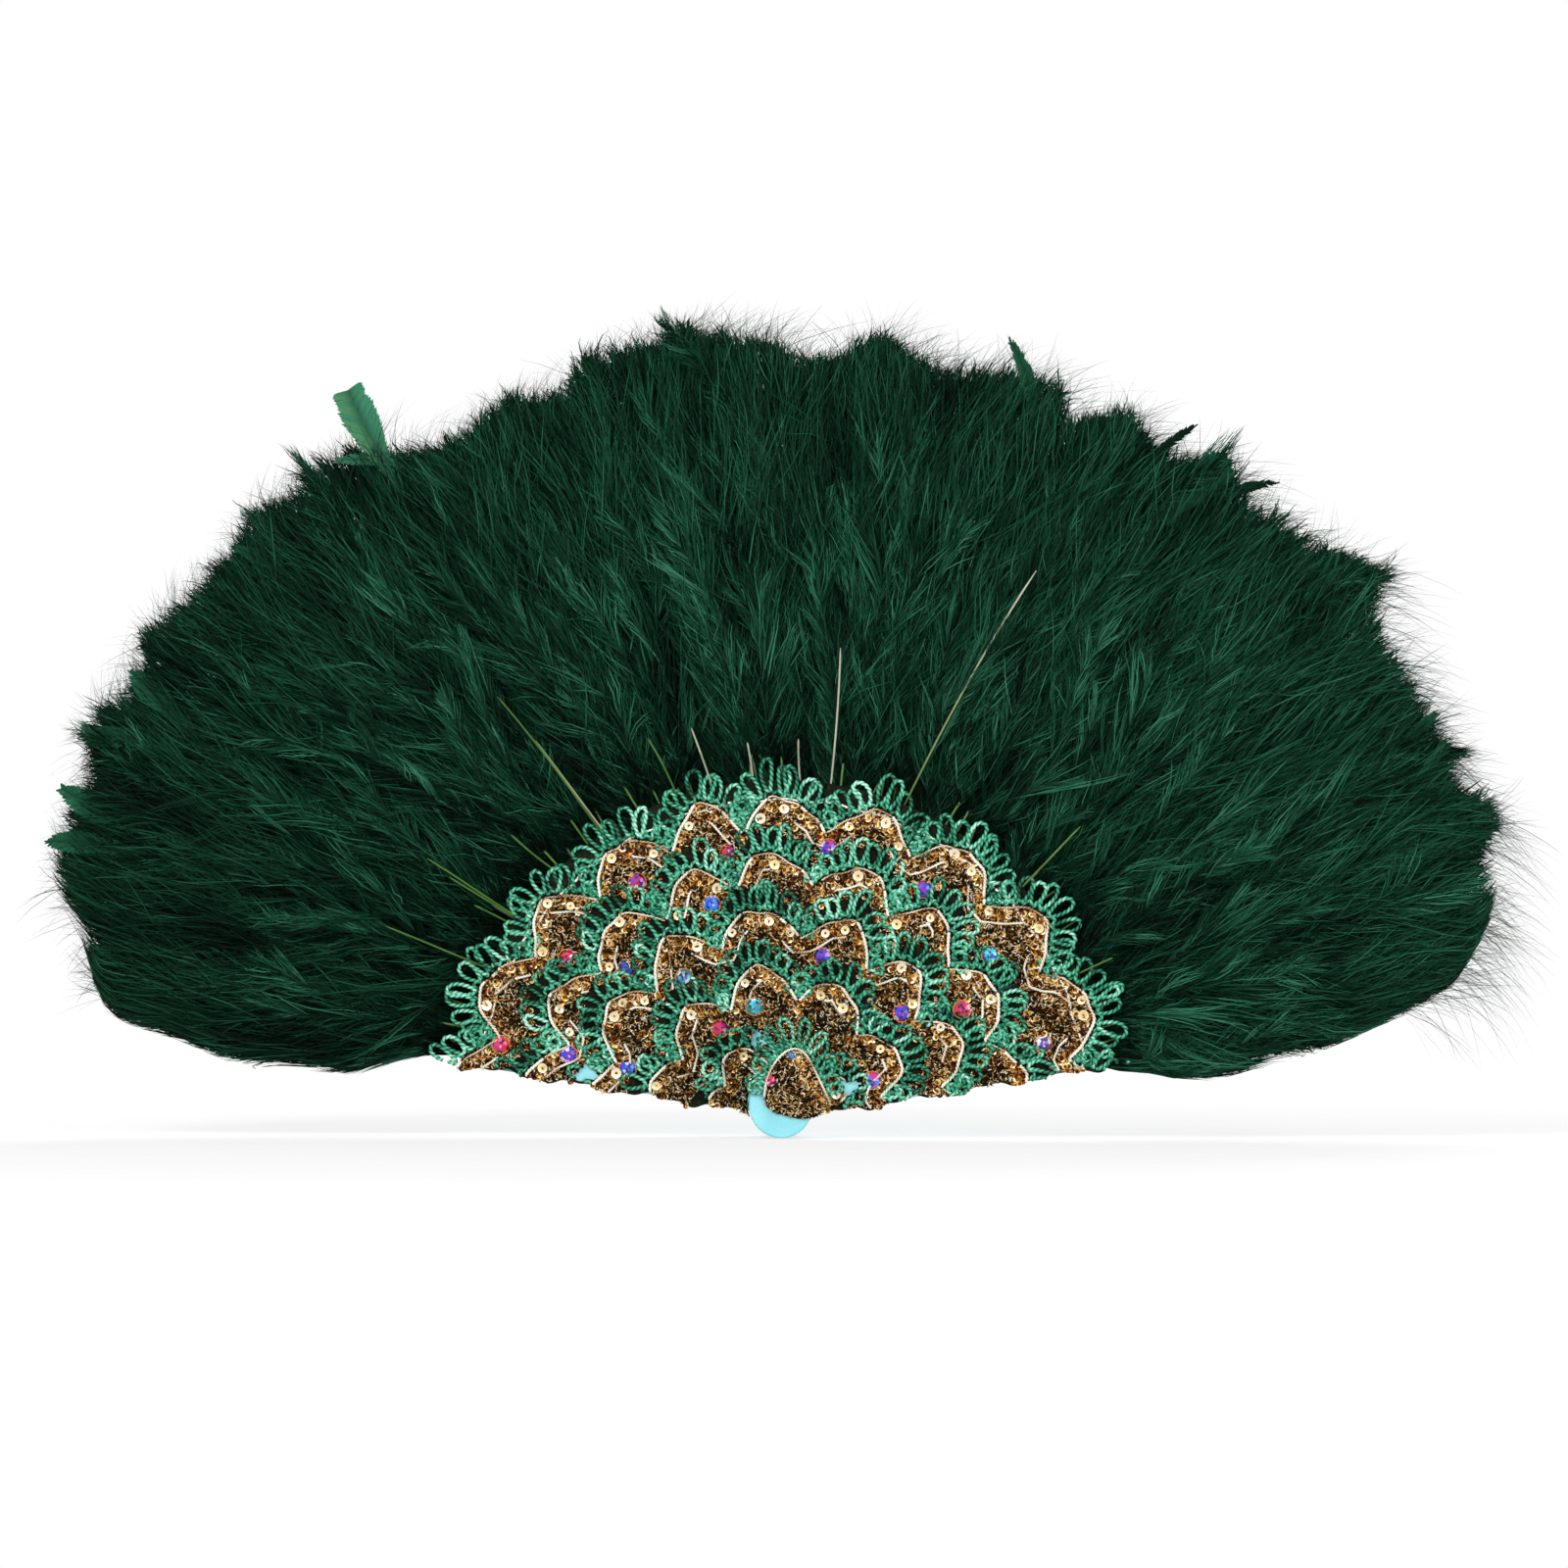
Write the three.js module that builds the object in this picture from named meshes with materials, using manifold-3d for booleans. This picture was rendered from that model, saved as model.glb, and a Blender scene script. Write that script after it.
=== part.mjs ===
// Folding feather fan, open. Nine plastic leaves turn on one rivet, each with its lace, its stretch of link
// ribbon, its glued quills and its plume of down. Millimetres, +Z up, the front of the fan faces -Y.
// The origin is the centre of the pivot, on the rivet's axis, halfway through the stack of leaves.

import * as THREE from 'three';
import { mergeVertices } from 'three/addons/utils/BufferGeometryUtils.js';
import Module from 'manifold-3d';

const wasm = await Module();
wasm.setup();

// Leaves
const leafCount = 9;
const leafStepDegrees = 18.25;
const middleDegrees = 90;
const bladeLength = 124;
const bladeThickness = 1.7;
const neckHalfWidth = 5;
const endHalfWidth = 21.5;
const headRadius = 12.2;
const bossRadius = 8;

// Fits
const seatGap = 0.1;
const sideGap = 0.3;
const runningGap = 0.3;
const overrun = 1;

// Rivet
const pinRadius = 2;
const boreGap = 0.4;
const capThickness = 1.8;
const capEdge = 0.6;
const socketDepth = 0.9;
const washerRadius = 7;
const washerThickness = 1.6;

// Lace
const laceThickness = 1.8;
const bandThickness = 1.5;
const fringeThickness = 0.9;
const laceInset = 0.6;
const laceStep = 0.3;
const laceStart = 9;
const crestMargin = 6;
const innermostCrest = 30;
const scallopDepth = 15;
const scallopRoot = 12;
const fringeLength = 9;
const picotLength = 2.4;
const picotWidth = 4.4;
const stoneRadius = 3;
const stoneDrop = 17;
const pivotLaceWidth = 36;
const pivotLaceHeight = 27;
const pivotLaceX = 7;
const pivotLaceZ = 8.5;

// The rows of trim, from the outermost in: the angle of the first crest, the angle between crests and the
// share of the scallop depth that the row has. The rows of stones, one row inside each of the first four.
const rowPlaces = [
  { firstDegrees: 17, pitchDegrees: 18.25, depthShare: 1 },
  { firstDegrees: 28.2, pitchDegrees: 21, depthShare: 0.93 },
  { firstDegrees: 19.3, pitchDegrees: 26.6, depthShare: 0.87 },
  { firstDegrees: 24, pitchDegrees: 37.5, depthShare: 0.8 },
  { firstDegrees: 26, pitchDegrees: 56, depthShare: 0.53 },
];
const stonePlaces = [
  { firstDegrees: 13.3, pitchDegrees: 22.1, count: 8 },
  { firstDegrees: 28, pitchDegrees: 27.8, count: 6 },
  { firstDegrees: 37.4, pitchDegrees: 43.2, count: 4 },
  { firstDegrees: 15.6, pitchDegrees: 56.6, count: 3 },
];

// Link ribbon
const ribbonMargin = 7;
const ribbonWidth = 2;
const ribbonThickness = 0.4;

// Quills and plumes
const rebateDepth = 0.9;
const rebateLength = 18;
const glueWidth = 5;
const quillCount = 5;
const quillRootWidth = 2.4;
const quillTipWidth = 1;
const quillReach = 40;
const quillEvenTips = 12;
const plumeLength = 174;
const guardPlumeLength = 160;
const plumeBack = 1.8;
const plumeBackRise = 22;
const plumeSkin = 0.6;
const plumeSwellStart = 9;
const plumeSwellLength = 26;
const plumeHalfDegrees = 12.6;
const plumeRootHalfDegrees = 9.4;
const plumeFlareLength = 66;
const plumeTiers = 5;
const plumeTierSteps = 3;
const plumeRelief = 2.6;
const plumeBackRelief = 0.4;
const plumeFrontRise = 3.6;
const plumeRearRise = 1.8;
const plumeTierShare = 0.45;
const plumeLobe = 9;
const plumeShoulderShare = 0.3;
const featherCount = 3;

// The rows and stones at their real radii.
const rowSpacing = (bladeLength - crestMargin - innermostCrest) / (rowPlaces.length - 1);
const rows = rowPlaces.map((row, order) => {
  const crest = bladeLength - crestMargin - order * rowSpacing;
  return { ...row, crest, valley: crest - scallopDepth * row.depthShare };
});
const stoneRows = stonePlaces.map((row, order) => ({ ...row, radius: rows[order].crest - stoneDrop }));

const middleIndex = (leafCount - 1) / 2;
const leafPitch = laceThickness + seatGap + plumeBack + runningGap;
const frontDepth = laceThickness + seatGap;
const backDepth = plumeBack;
const stackFront = -middleIndex * leafPitch - frontDepth;
const stackBack = middleIndex * leafPitch + backDepth;
const ribbonRadius = bladeLength - ribbonMargin;
const rebateStart = bladeLength - rebateLength;
const quillTip = bladeLength + quillReach;

const plastic = new THREE.MeshStandardMaterial({ color: 0x6fdcee, roughness: 0.3, metalness: 0 });
const greenLace = new THREE.MeshStandardMaterial({ color: 0x23946a, roughness: 0.7, metalness: 0 });
const goldLace = new THREE.MeshStandardMaterial({ color: 0xb5802f, roughness: 0.4, metalness: 0.6 });
const satin = new THREE.MeshStandardMaterial({ color: 0xe8e4dc, roughness: 0.5, metalness: 0 });
const shaft = new THREE.MeshStandardMaterial({ color: 0x6b8a3a, roughness: 0.5, metalness: 0 });
const down = new THREE.MeshStandardMaterial({ color: 0x124a33, roughness: 0.9, metalness: 0 });

const radians = THREE.MathUtils.degToRad;
const degrees = THREE.MathUtils.radToDeg;

// A solid from a closed geometry, with the vertices that its faces share merged.
function solid(geometry) {
  geometry.deleteAttribute('normal');
  geometry.deleteAttribute('uv');
  const merged = mergeVertices(geometry);
  return new wasm.Manifold(new wasm.Mesh({
    numProp: 3,
    vertProperties: Float32Array.from(merged.attributes.position.array),
    triVerts: Uint32Array.from(merged.index.array),
  }));
}

function geometryOf(body) {
  const { vertProperties, triVerts } = body.getMesh();
  const geometry = new THREE.BufferGeometry();
  geometry.setAttribute('position', new THREE.BufferAttribute(Float32Array.from(vertProperties), 3));
  geometry.setIndex(new THREE.BufferAttribute(Uint32Array.from(triVerts), 1));
  geometry.computeVertexNormals();
  return geometry;
}

function named(name, body, material) {
  const mesh = new THREE.Mesh(geometryOf(body), material);
  mesh.name = name;
  return mesh;
}

// A flat plate from an outline in the fan's plane: across, then along the leaf. It lies between two depths.
function plate(outline, front, back) {
  const geometry = new THREE.ExtrudeGeometry(new THREE.Shape(outline), {
    depth: back - front,
    bevelEnabled: false,
  });
  geometry.rotateX(Math.PI / 2);
  geometry.translate(0, back, 0);
  return solid(geometry);
}

// A round piece on the rivet's axis, from a profile of radius and depth.
function turned(profile, sides) {
  return solid(new THREE.LatheGeometry(profile, sides));
}

function circle(radius, sides) {
  return Array.from({ length: sides }, (_, index) => polar(radius, index * (360 / sides)));
}

// A point at an angle in degrees, counted from the side axis as the front of the fan is seen.
function polar(radius, angle) {
  return new THREE.Vector2(radius * Math.cos(radians(angle)), radius * Math.sin(radians(angle)));
}

// A band round the pivot, centred on the leaf.
function band(inner, outer, halfDegrees, steps) {
  const angles = Array.from({ length: steps + 1 }, (_, index) =>
    middleDegrees - halfDegrees + (2 * halfDegrees * index) / steps);
  const outside = angles.map((angle) => polar(outer, angle));
  const inside = angles.reverse().map((angle) => polar(inner, angle));
  return [...outside, ...inside];
}

function leafAngle(index) {
  return middleDegrees + (middleIndex - index) * leafStepDegrees;
}

// Half the blade's width at a height along its axis.
function halfWidthAt(height) {
  return neckHalfWidth + ((endHalfWidth - neckHalfWidth) * height) / bladeLength;
}

function bladeOutline() {
  const slope = (endHalfWidth - neckHalfWidth) / bladeLength;
  const square = 1 + slope * slope;
  const root = Math.sqrt(square * headRadius ** 2 - neckHalfWidth ** 2);
  const joinHeight = (root - neckHalfWidth * slope) / square;
  const joinDegrees = degrees(Math.atan2(joinHeight, halfWidthAt(joinHeight)));
  const endDegrees = degrees(Math.acos(endHalfWidth / bladeLength));
  const outline = new THREE.Path();
  outline.absarc(0, 0, headRadius, radians(180 - joinDegrees), radians(360 + joinDegrees), false);
  outline.absarc(0, 0, bladeLength, radians(endDegrees), radians(180 - endDegrees), false);
  return outline.getPoints(8);
}

// The blade: a round head with a spacer boss in front, and a rebate behind its end for the quills.
function blade(depth) {
  const bore = plate(circle(pinRadius + boreGap, 12), depth - frontDepth - overrun,
    depth + bladeThickness + overrun);
  const boss = plate(circle(bossRadius, 16), depth - frontDepth, depth + bladeThickness / 2);
  const rebate = plate(band(rebateStart, bladeLength + overrun, plumeHalfDegrees, 6),
    depth + bladeThickness - rebateDepth, depth + bladeThickness + overrun);
  return plate(bladeOutline(), depth, depth + bladeThickness).add(boss).subtract(bore).subtract(rebate);
}

// How far a row of trim reaches from the pivot at an angle of the open fan: broad crests, narrow valleys.
function rowReach(row, angle) {
  const turn = ((angle - row.firstDegrees) / row.pitchDegrees) * 2 * Math.PI;
  const rise = ((1 + Math.cos(turn)) / 2) ** 0.7;
  return THREE.MathUtils.lerp(row.valley, row.crest, rise);
}

// The fringe of cord past a row, and the picot loops that stand out of the outermost one.
function fringeReach(row, angle) {
  return rowReach(row, angle) + fringeLength;
}

function picotReach(row, angle) {
  const loops = (radians(angle) * row.crest) / picotWidth;
  return fringeReach(row, angle) + picotLength * Math.cos(2 * Math.PI * loops);
}

// A point of a row across a leaf, where share runs from -1 at its right edge to 1 at its left edge.
function acrossLeaf(reach, angle, share, inset) {
  let height = bladeLength;
  let across = 0;
  for (let pass = 0; pass < 6; pass += 1) {
    across = -share * (halfWidthAt(height) - inset);
    const radius = reach(angle + degrees(Math.atan2(-across, height)));
    height = Math.sqrt(radius ** 2 - across ** 2);
  }
  return new THREE.Vector2(across, height);
}

function edgeOf(reach, angle, steps, inset = laceInset) {
  return Array.from({ length: steps + 1 }, (_, index) =>
    acrossLeaf(reach, angle, -1 + (2 * index) / steps, inset));
}

// The straight lower end of a lace outline, whose upper edge runs from right to left.
function laceFoot(height, inset = laceInset) {
  return [-1, 1].map((side) => new THREE.Vector2(side * (halfWidthAt(height) - inset), height));
}

// The leaf that shows at a place on the open fan: the one in front whose blade reaches it.
function showsAt(radius, angle) {
  for (let index = leafCount - 1; index > 0; index -= 1) {
    const edge = degrees(Math.asin(halfWidthAt(radius) / radius));
    if (angle <= leafAngle(index) + edge) return index;
  }
  return 0;
}

// The stones that sit on a leaf between two radii, as places on that leaf.
function stonesOn(index, inner, outer) {
  return stoneRows
    .filter((row) => row.radius > inner && row.radius < outer)
    .flatMap((row) => Array.from({ length: row.count }, (_, place) => ({
      radius: row.radius,
      angle: row.firstDegrees + place * row.pitchDegrees,
    })))
    .filter((stone) => showsAt(stone.radius, stone.angle) === index)
    .map((stone) => polar(stone.radius, stone.angle - leafAngle(index) + middleDegrees));
}

function addStones(lace, places, depth) {
  return places.reduce((body, place) => {
    const outline = circle(stoneRadius, 8).map((point) => point.add(place));
    const limit = halfWidthAt(place.y) - laceInset - stoneRadius;
    const inward = THREE.MathUtils.clamp(place.x, -limit, limit) - place.x;
    const moved = outline.map((point) => new THREE.Vector2(point.x + inward, point.y));
    return body.add(plate(moved, depth - frontDepth, depth - seatGap - fringeThickness / 2));
  }, lace);
}

// The outermost row: a fringe of loops, a thicker sequinned band, and a channel over the ribbon behind it.
// It stops short of the fringe of the row below it.
function outerLace(index, depth) {
  const angle = leafAngle(index);
  const [row, nextRow] = rows;
  const footHeight = nextRow.valley - scallopRoot;
  const fringe = edgeOf((place) => picotReach(row, place), angle, 30);
  const crest = edgeOf((place) => rowReach(row, place), angle, 10, laceInset + laceStep);
  const lower = edgeOf((place) => fringeReach(nextRow, place) + sideGap, angle, 10);
  const below = laceFoot(footHeight - overrun, -overrun);
  const beside = [lower[0], lower[lower.length - 1]].map((point, end) =>
    new THREE.Vector2(point.x + (end ? -overrun : overrun), point.y));
  const channel = band(ribbonRadius - ribbonWidth / 2 - sideGap, ribbonRadius + ribbonWidth / 2 + sideGap,
    plumeHalfDegrees, 6);
  const channelFront = depth - seatGap - ribbonThickness - seatGap;
  const middle = depth - seatGap - fringeThickness / 2;
  const lace = plate([...fringe, ...laceFoot(footHeight)], depth - seatGap - fringeThickness,
    depth - seatGap).add(plate([...crest, ...laceFoot(footHeight + laceStep, laceInset + laceStep)],
    depth - seatGap - bandThickness, middle));
  return addStones(lace, stonesOn(index, nextRow.crest, row.crest), depth)
    .subtract(plate([beside[0], ...lower, beside[1], ...below], depth - frontDepth - overrun,
      depth + overrun))
    .subtract(plate(channel, channelFront, depth));
}

// The rows below it, each shingled over the one outside it, so the lace steps up towards the pivot.
function innerLace(index, depth) {
  const angle = leafAngle(index);
  const innerRows = rows.slice(1);
  const stepUp = (bandThickness - fringeThickness) / innerRows.length;
  const [outermost] = innerRows;
  const fringe = edgeOf((place) => fringeReach(outermost, place), angle, 10);
  const middle = depth - seatGap - fringeThickness / 2;
  let lace = plate([...fringe, ...laceFoot(laceStart)], depth - seatGap - fringeThickness,
    depth - seatGap);
  innerRows.forEach((row, order) => {
    const step = order + 1;
    const inset = laceInset + step * laceStep;
    const edge = edgeOf((place) => rowReach(row, place), angle, 6, inset);
    const foot = laceFoot(laceStart + step * laceStep, inset);
    const front = depth - seatGap - fringeThickness - step * stepUp;
    lace = lace.add(plate([...edge, ...foot], front, middle));
  });
  return addStones(lace, stonesOn(index, 0, outermost.crest), depth);
}

function ribbon(depth) {
  const halfDegrees = degrees(Math.asin((halfWidthAt(ribbonRadius) - laceInset) / ribbonRadius));
  const outline = band(ribbonRadius - ribbonWidth / 2, ribbonRadius + ribbonWidth / 2, halfDegrees, 4);
  return plate(outline, depth - seatGap - ribbonThickness, depth - seatGap);
}

// The bare quills, joined by the bead of glue that holds them in the blade's rebate.
function quills(depth) {
  const front = depth + bladeThickness - rebateDepth + seatGap;
  const back = depth + bladeThickness;
  const halfDegrees = degrees(Math.asin((halfWidthAt(rebateStart) - laceInset) / rebateStart));
  const glueInner = rebateStart + sideGap;
  let bundle = plate(band(glueInner, glueInner + glueWidth, halfDegrees, 4), front, back);
  for (let place = 0; place < quillCount; place += 1) {
    const spread = -1 + (2 * place) / (quillCount - 1);
    const angle = middleDegrees + spread * (halfDegrees - degrees(quillRootWidth / rebateStart));
    const tip = place % 2 ? quillTip : quillTip - quillEvenTips;
    const side = polar(1, angle - middleDegrees);
    const outline = [[glueInner, -quillRootWidth], [tip, -quillTipWidth], [tip, quillTipWidth],
      [glueInner, quillRootWidth]].map(([radius, width]) =>
      polar(radius, angle).addScaledVector(side, -width / 2));
    bundle = bundle.add(plate(outline.reverse(), front, back));
  }
  return bundle;
}

// The plume: thin where the down starts, swelling outwards, grooved between its feathers, lobed at the tips.
function plumeReach(share, length) {
  const lobe = plumeLobe * (1 - Math.abs(Math.cos(share * featherCount * Math.PI / 2)));
  const shoulder = 1 - plumeShoulderShare * Math.abs(share) ** 6;
  return (bladeLength + length) * shoulder - lobe;
}

// The down lies in tiers of feathers, each tier's tips over the quills of the next: 0 on a feather's
// crown near its tip, 1 in the valleys and just past the tips.
function plumeHollow(share, step) {
  const tier = Math.floor(step / plumeTierSteps);
  const behindTip = 1 - (step % plumeTierSteps) / (plumeTierSteps - 1);
  const valley = 1 - Math.abs(Math.cos((share * featherCount + tier) * Math.PI / 2));
  return THREE.MathUtils.lerp(valley, behindTip, plumeTierShare);
}

function plumePoint(share, along, hollow, onFront, index, length) {
  const depth = leafDepth(index);
  const frontRise = index === leafCount - 1 ? plumeFrontRise : 0;
  const rearRise = index === 0 ? plumeRearRise : 0;
  const start = bladeLength + sideGap;
  const radius = start + along * (plumeReach(share, length) - start);
  const flare = THREE.MathUtils.smoothstep(radius, start, start + plumeFlareLength);
  const halfDegrees = THREE.MathUtils.lerp(plumeRootHalfDegrees, plumeHalfDegrees, flare);
  const spot = polar(radius, middleDegrees - share * halfDegrees);
  const swellStart = start + plumeSwellStart;
  const swell = THREE.MathUtils.smoothstep(radius, swellStart, swellStart + plumeSwellLength);
  const crown = seatGap - frontDepth - frontRise;
  const front = THREE.MathUtils.lerp(crown, crown + frontRise + plumeRelief, hollow);
  const frontFace = THREE.MathUtils.lerp(seatGap, front, swell);
  const riseStart = quillTip + sideGap;
  const clear = THREE.MathUtils.smoothstep(radius, riseStart, riseStart + plumeBackRise);
  const rear = THREE.MathUtils.lerp(plumeBack + rearRise, plumeBack - plumeBackRelief, hollow);
  const backFace = THREE.MathUtils.lerp(seatGap + plumeSkin, rear, clear);
  return [spot.x, depth + (onFront ? frontFace : backFace), spot.y];
}

function plume(index, length) {
  const acrossSteps = featherCount * 4;
  const alongSteps = plumeTiers * plumeTierSteps;
  const positions = [];
  for (const onFront of [true, false]) {
    for (let row = 0; row <= alongSteps; row += 1) {
      for (let column = 0; column <= acrossSteps; column += 1) {
        const share = -1 + (2 * column) / acrossSteps;
        const hollow = plumeHollow(share, row);
        positions.push(...plumePoint(share, row / alongSteps, hollow, onFront, index, length));
      }
    }
  }
  const layer = (alongSteps + 1) * (acrossSteps + 1);
  const at = (row, column) => row * (acrossSteps + 1) + column;
  const faces = [];
  const quad = (a, b, c, d) => faces.push(a, b, c, a, c, d);
  for (let row = 0; row < alongSteps; row += 1) {
    for (let column = 0; column < acrossSteps; column += 1) {
      const corners = [at(row, column), at(row, column + 1), at(row + 1, column + 1), at(row + 1, column)];
      quad(...corners);
      quad(...corners.reverse().map((corner) => corner + layer));
    }
  }
  for (let row = 0; row < alongSteps; row += 1) {
    quad(at(row + 1, 0), at(row + 1, 0) + layer, at(row, 0) + layer, at(row, 0));
    quad(at(row, acrossSteps), at(row, acrossSteps) + layer, at(row + 1, acrossSteps) + layer,
      at(row + 1, acrossSteps));
  }
  for (let column = 0; column < acrossSteps; column += 1) {
    quad(at(0, column), at(0, column) + layer, at(0, column + 1) + layer, at(0, column + 1));
    quad(at(alongSteps, column + 1), at(alongSteps, column + 1) + layer, at(alongSteps, column) + layer,
      at(alongSteps, column));
  }
  const geometry = new THREE.BufferGeometry();
  geometry.setAttribute('position', new THREE.Float32BufferAttribute(positions, 3));
  geometry.setIndex(faces);
  return solid(geometry);
}

function isGuard(index) {
  return index === 0 || index === leafCount - 1;
}

function bladeName(index) {
  if (isGuard(index)) return index ? 'right_guard_blade' : 'left_guard_blade';
  return `blade_${index + 1}`;
}

function leafDepth(index) {
  return (middleIndex - index) * leafPitch;
}

function leaf(index) {
  const depth = leafDepth(index);
  const number = index + 1;
  const group = new THREE.Group();
  group.add(
    named(bladeName(index), blade(depth), plastic),
    named(`outer_lace_${number}`, outerLace(index, depth), greenLace),
    named(`inner_lace_${number}`, innerLace(index, depth), goldLace),
    named(`ribbon_${number}`, ribbon(depth), satin),
    named(`quills_${number}`, quills(depth), shaft),
    named(`plume_${number}`, plume(index, isGuard(index) ? guardPlumeLength : plumeLength), down),
  );
  group.rotation.y = radians(middleDegrees - leafAngle(index));
  return group;
}

// The rivet: a pin through the nine bores, a broad cap in front and a washer behind, each with a socket.
function rivet() {
  const capBack = stackFront - runningGap;
  const capFront = capBack - capThickness;
  const washerFront = stackBack + runningGap;
  const washerBack = washerFront + washerThickness;
  const socketRadius = pinRadius + sideGap;
  const point = (radius, depth) => new THREE.Vector2(radius, depth);
  const cap = turned([
    point(0, capFront), point(headRadius - capEdge, capFront), point(headRadius, capFront + capEdge),
    point(headRadius, capBack), point(socketRadius, capBack), point(socketRadius, capBack - socketDepth),
    point(0, capBack - socketDepth),
  ], 32);
  const washer = turned([
    point(0, washerFront + socketDepth), point(socketRadius, washerFront + socketDepth),
    point(socketRadius, washerFront), point(washerRadius, washerFront),
    point(washerRadius, washerBack - capEdge), point(washerRadius - capEdge, washerBack),
    point(0, washerBack),
  ], 24);
  const pinFront = capBack - socketDepth + seatGap;
  const pinBack = washerFront + socketDepth - seatGap;
  const pin = turned([point(0, pinFront), point(pinRadius, pinFront), point(pinRadius, pinBack),
    point(0, pinBack)], 16);
  return [
    named('rivet_pin', pin, plastic),
    named('pivot_cap', cap, plastic),
    named('back_washer', washer, plastic),
    named('pivot_lace', pivotLace(capFront - seatGap), goldLace),
  ];
}

// The scallop of lace glued on the cap, up and to the right of the rivet.
function pivotLace(back) {
  const outlineShares = [[-0.5, -0.14], [-0.3, -0.24], [-0.12, -0.36], [0.12, -0.48], [0.36, -0.44],
    [0.5, -0.2], [0.42, 0.1], [0.24, 0.38], [0, 0.5], [-0.24, 0.34], [-0.4, 0.08]];
  const outline = outlineShares.map(([across, up]) => new THREE.Vector2(
    pivotLaceX + across * pivotLaceWidth, pivotLaceZ + up * pivotLaceHeight));
  const smooth = new THREE.SplineCurve([...outline, outline[0]]).getPoints(30).slice(0, -1);
  return plate(smooth, back - bandThickness, back);
}

const fan = new THREE.Group();
for (let index = 0; index < leafCount; index += 1) fan.add(leaf(index));
fan.add(...rivet());

export default fan;
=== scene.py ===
import math

import bpy
import numpy as np
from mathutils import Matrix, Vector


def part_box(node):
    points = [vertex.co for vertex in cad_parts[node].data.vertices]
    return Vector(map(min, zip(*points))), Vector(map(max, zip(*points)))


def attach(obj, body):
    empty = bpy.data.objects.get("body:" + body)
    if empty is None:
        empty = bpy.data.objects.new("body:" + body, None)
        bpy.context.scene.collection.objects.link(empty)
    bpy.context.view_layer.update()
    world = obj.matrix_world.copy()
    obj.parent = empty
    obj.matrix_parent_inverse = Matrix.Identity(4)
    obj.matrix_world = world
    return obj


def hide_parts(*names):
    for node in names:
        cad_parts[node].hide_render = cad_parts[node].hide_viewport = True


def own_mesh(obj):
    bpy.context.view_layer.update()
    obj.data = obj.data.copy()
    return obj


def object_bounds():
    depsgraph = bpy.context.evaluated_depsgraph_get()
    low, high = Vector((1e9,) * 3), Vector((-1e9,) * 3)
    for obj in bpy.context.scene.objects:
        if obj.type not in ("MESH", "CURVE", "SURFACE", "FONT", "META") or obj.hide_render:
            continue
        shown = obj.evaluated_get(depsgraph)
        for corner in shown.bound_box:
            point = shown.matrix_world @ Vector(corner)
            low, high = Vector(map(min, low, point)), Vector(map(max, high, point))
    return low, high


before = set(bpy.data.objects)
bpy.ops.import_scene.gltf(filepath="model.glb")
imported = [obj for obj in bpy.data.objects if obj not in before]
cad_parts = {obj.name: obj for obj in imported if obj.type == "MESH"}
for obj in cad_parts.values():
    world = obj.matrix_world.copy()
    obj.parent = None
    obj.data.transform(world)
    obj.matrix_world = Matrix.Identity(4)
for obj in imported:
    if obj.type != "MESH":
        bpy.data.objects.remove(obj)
cad_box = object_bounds()
mm = 0.001

# Camera: the fan seen square from the front through a long lens, as in the picture of it.
# The pivot's place in that picture and the real size of a pixel give the view's width and centre.
picture_side = 1600
pixel = 0.375 * mm
pivot_pixel = (797, 1127)
camera_distance = 3.6
camera_data = bpy.data.cameras.new("camera")
camera_data.lens = camera_data.sensor_width * camera_distance / (picture_side * pixel)
camera = bpy.data.objects.new("camera", camera_data)
view_x = (picture_side / 2 - pivot_pixel[0]) * pixel
view_z = (pivot_pixel[1] - picture_side / 2) * pixel
camera.location = (view_x, -camera_distance, view_z)
camera.rotation_euler = (math.pi / 2, 0, 0)
bpy.context.scene.collection.objects.link(camera)
bpy.context.scene.camera = camera
bpy.context.scene.view_settings.view_transform = "Standard"


def linear(text):
    """The linear colour of a written colour such as #20b070."""
    parts = np.array([int(text[i : i + 2], 16) / 255 for i in (1, 3, 5)])
    low = parts / 12.92
    high = ((parts + 0.055) / 1.055) ** 2.4
    return (*np.where(parts <= 0.04045, low, high), 1.0)


class Socket:
    """A shader value that takes part in Python sums."""

    def __init__(self, nodes, socket):
        self.nodes = nodes
        self.socket = socket

    def math(self, operation, other):
        return self.nodes.out("ShaderNodeMath", {"operation": operation}, {0: self, 1: other})

    def __add__(self, other):
        return self.math("ADD", other)

    def __mul__(self, other):
        return self.math("MULTIPLY", other)

    __radd__ = __add__
    __rmul__ = __mul__


class Nodes:
    """The nodes of the world or of a material, made by one method."""

    def __init__(self, owner):
        owner.use_nodes = True
        self.tree = owner.node_tree

    def feed(self, target, value):
        if isinstance(value, Socket):
            self.tree.links.new(value.socket, target)
        else:
            target.default_value = value

    def node(self, kind, settings=None, inputs=None):
        node = self.tree.nodes.new(kind)
        for key, value in (settings or {}).items():
            if key == "stops":
                while len(node.color_ramp.elements) < len(value):
                    node.color_ramp.elements.new(0.5)
                for element, (place, colour) in zip(node.color_ramp.elements, value):
                    element.position = place
                    element.color = linear(colour)
            else:
                setattr(node, key, value)
        for key, value in (inputs or {}).items():
            self.feed(node.inputs[key], value)
        return node

    def out(self, kind, settings=None, inputs=None, output=0):
        return Socket(self, self.node(kind, settings, inputs).outputs[output])


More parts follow.
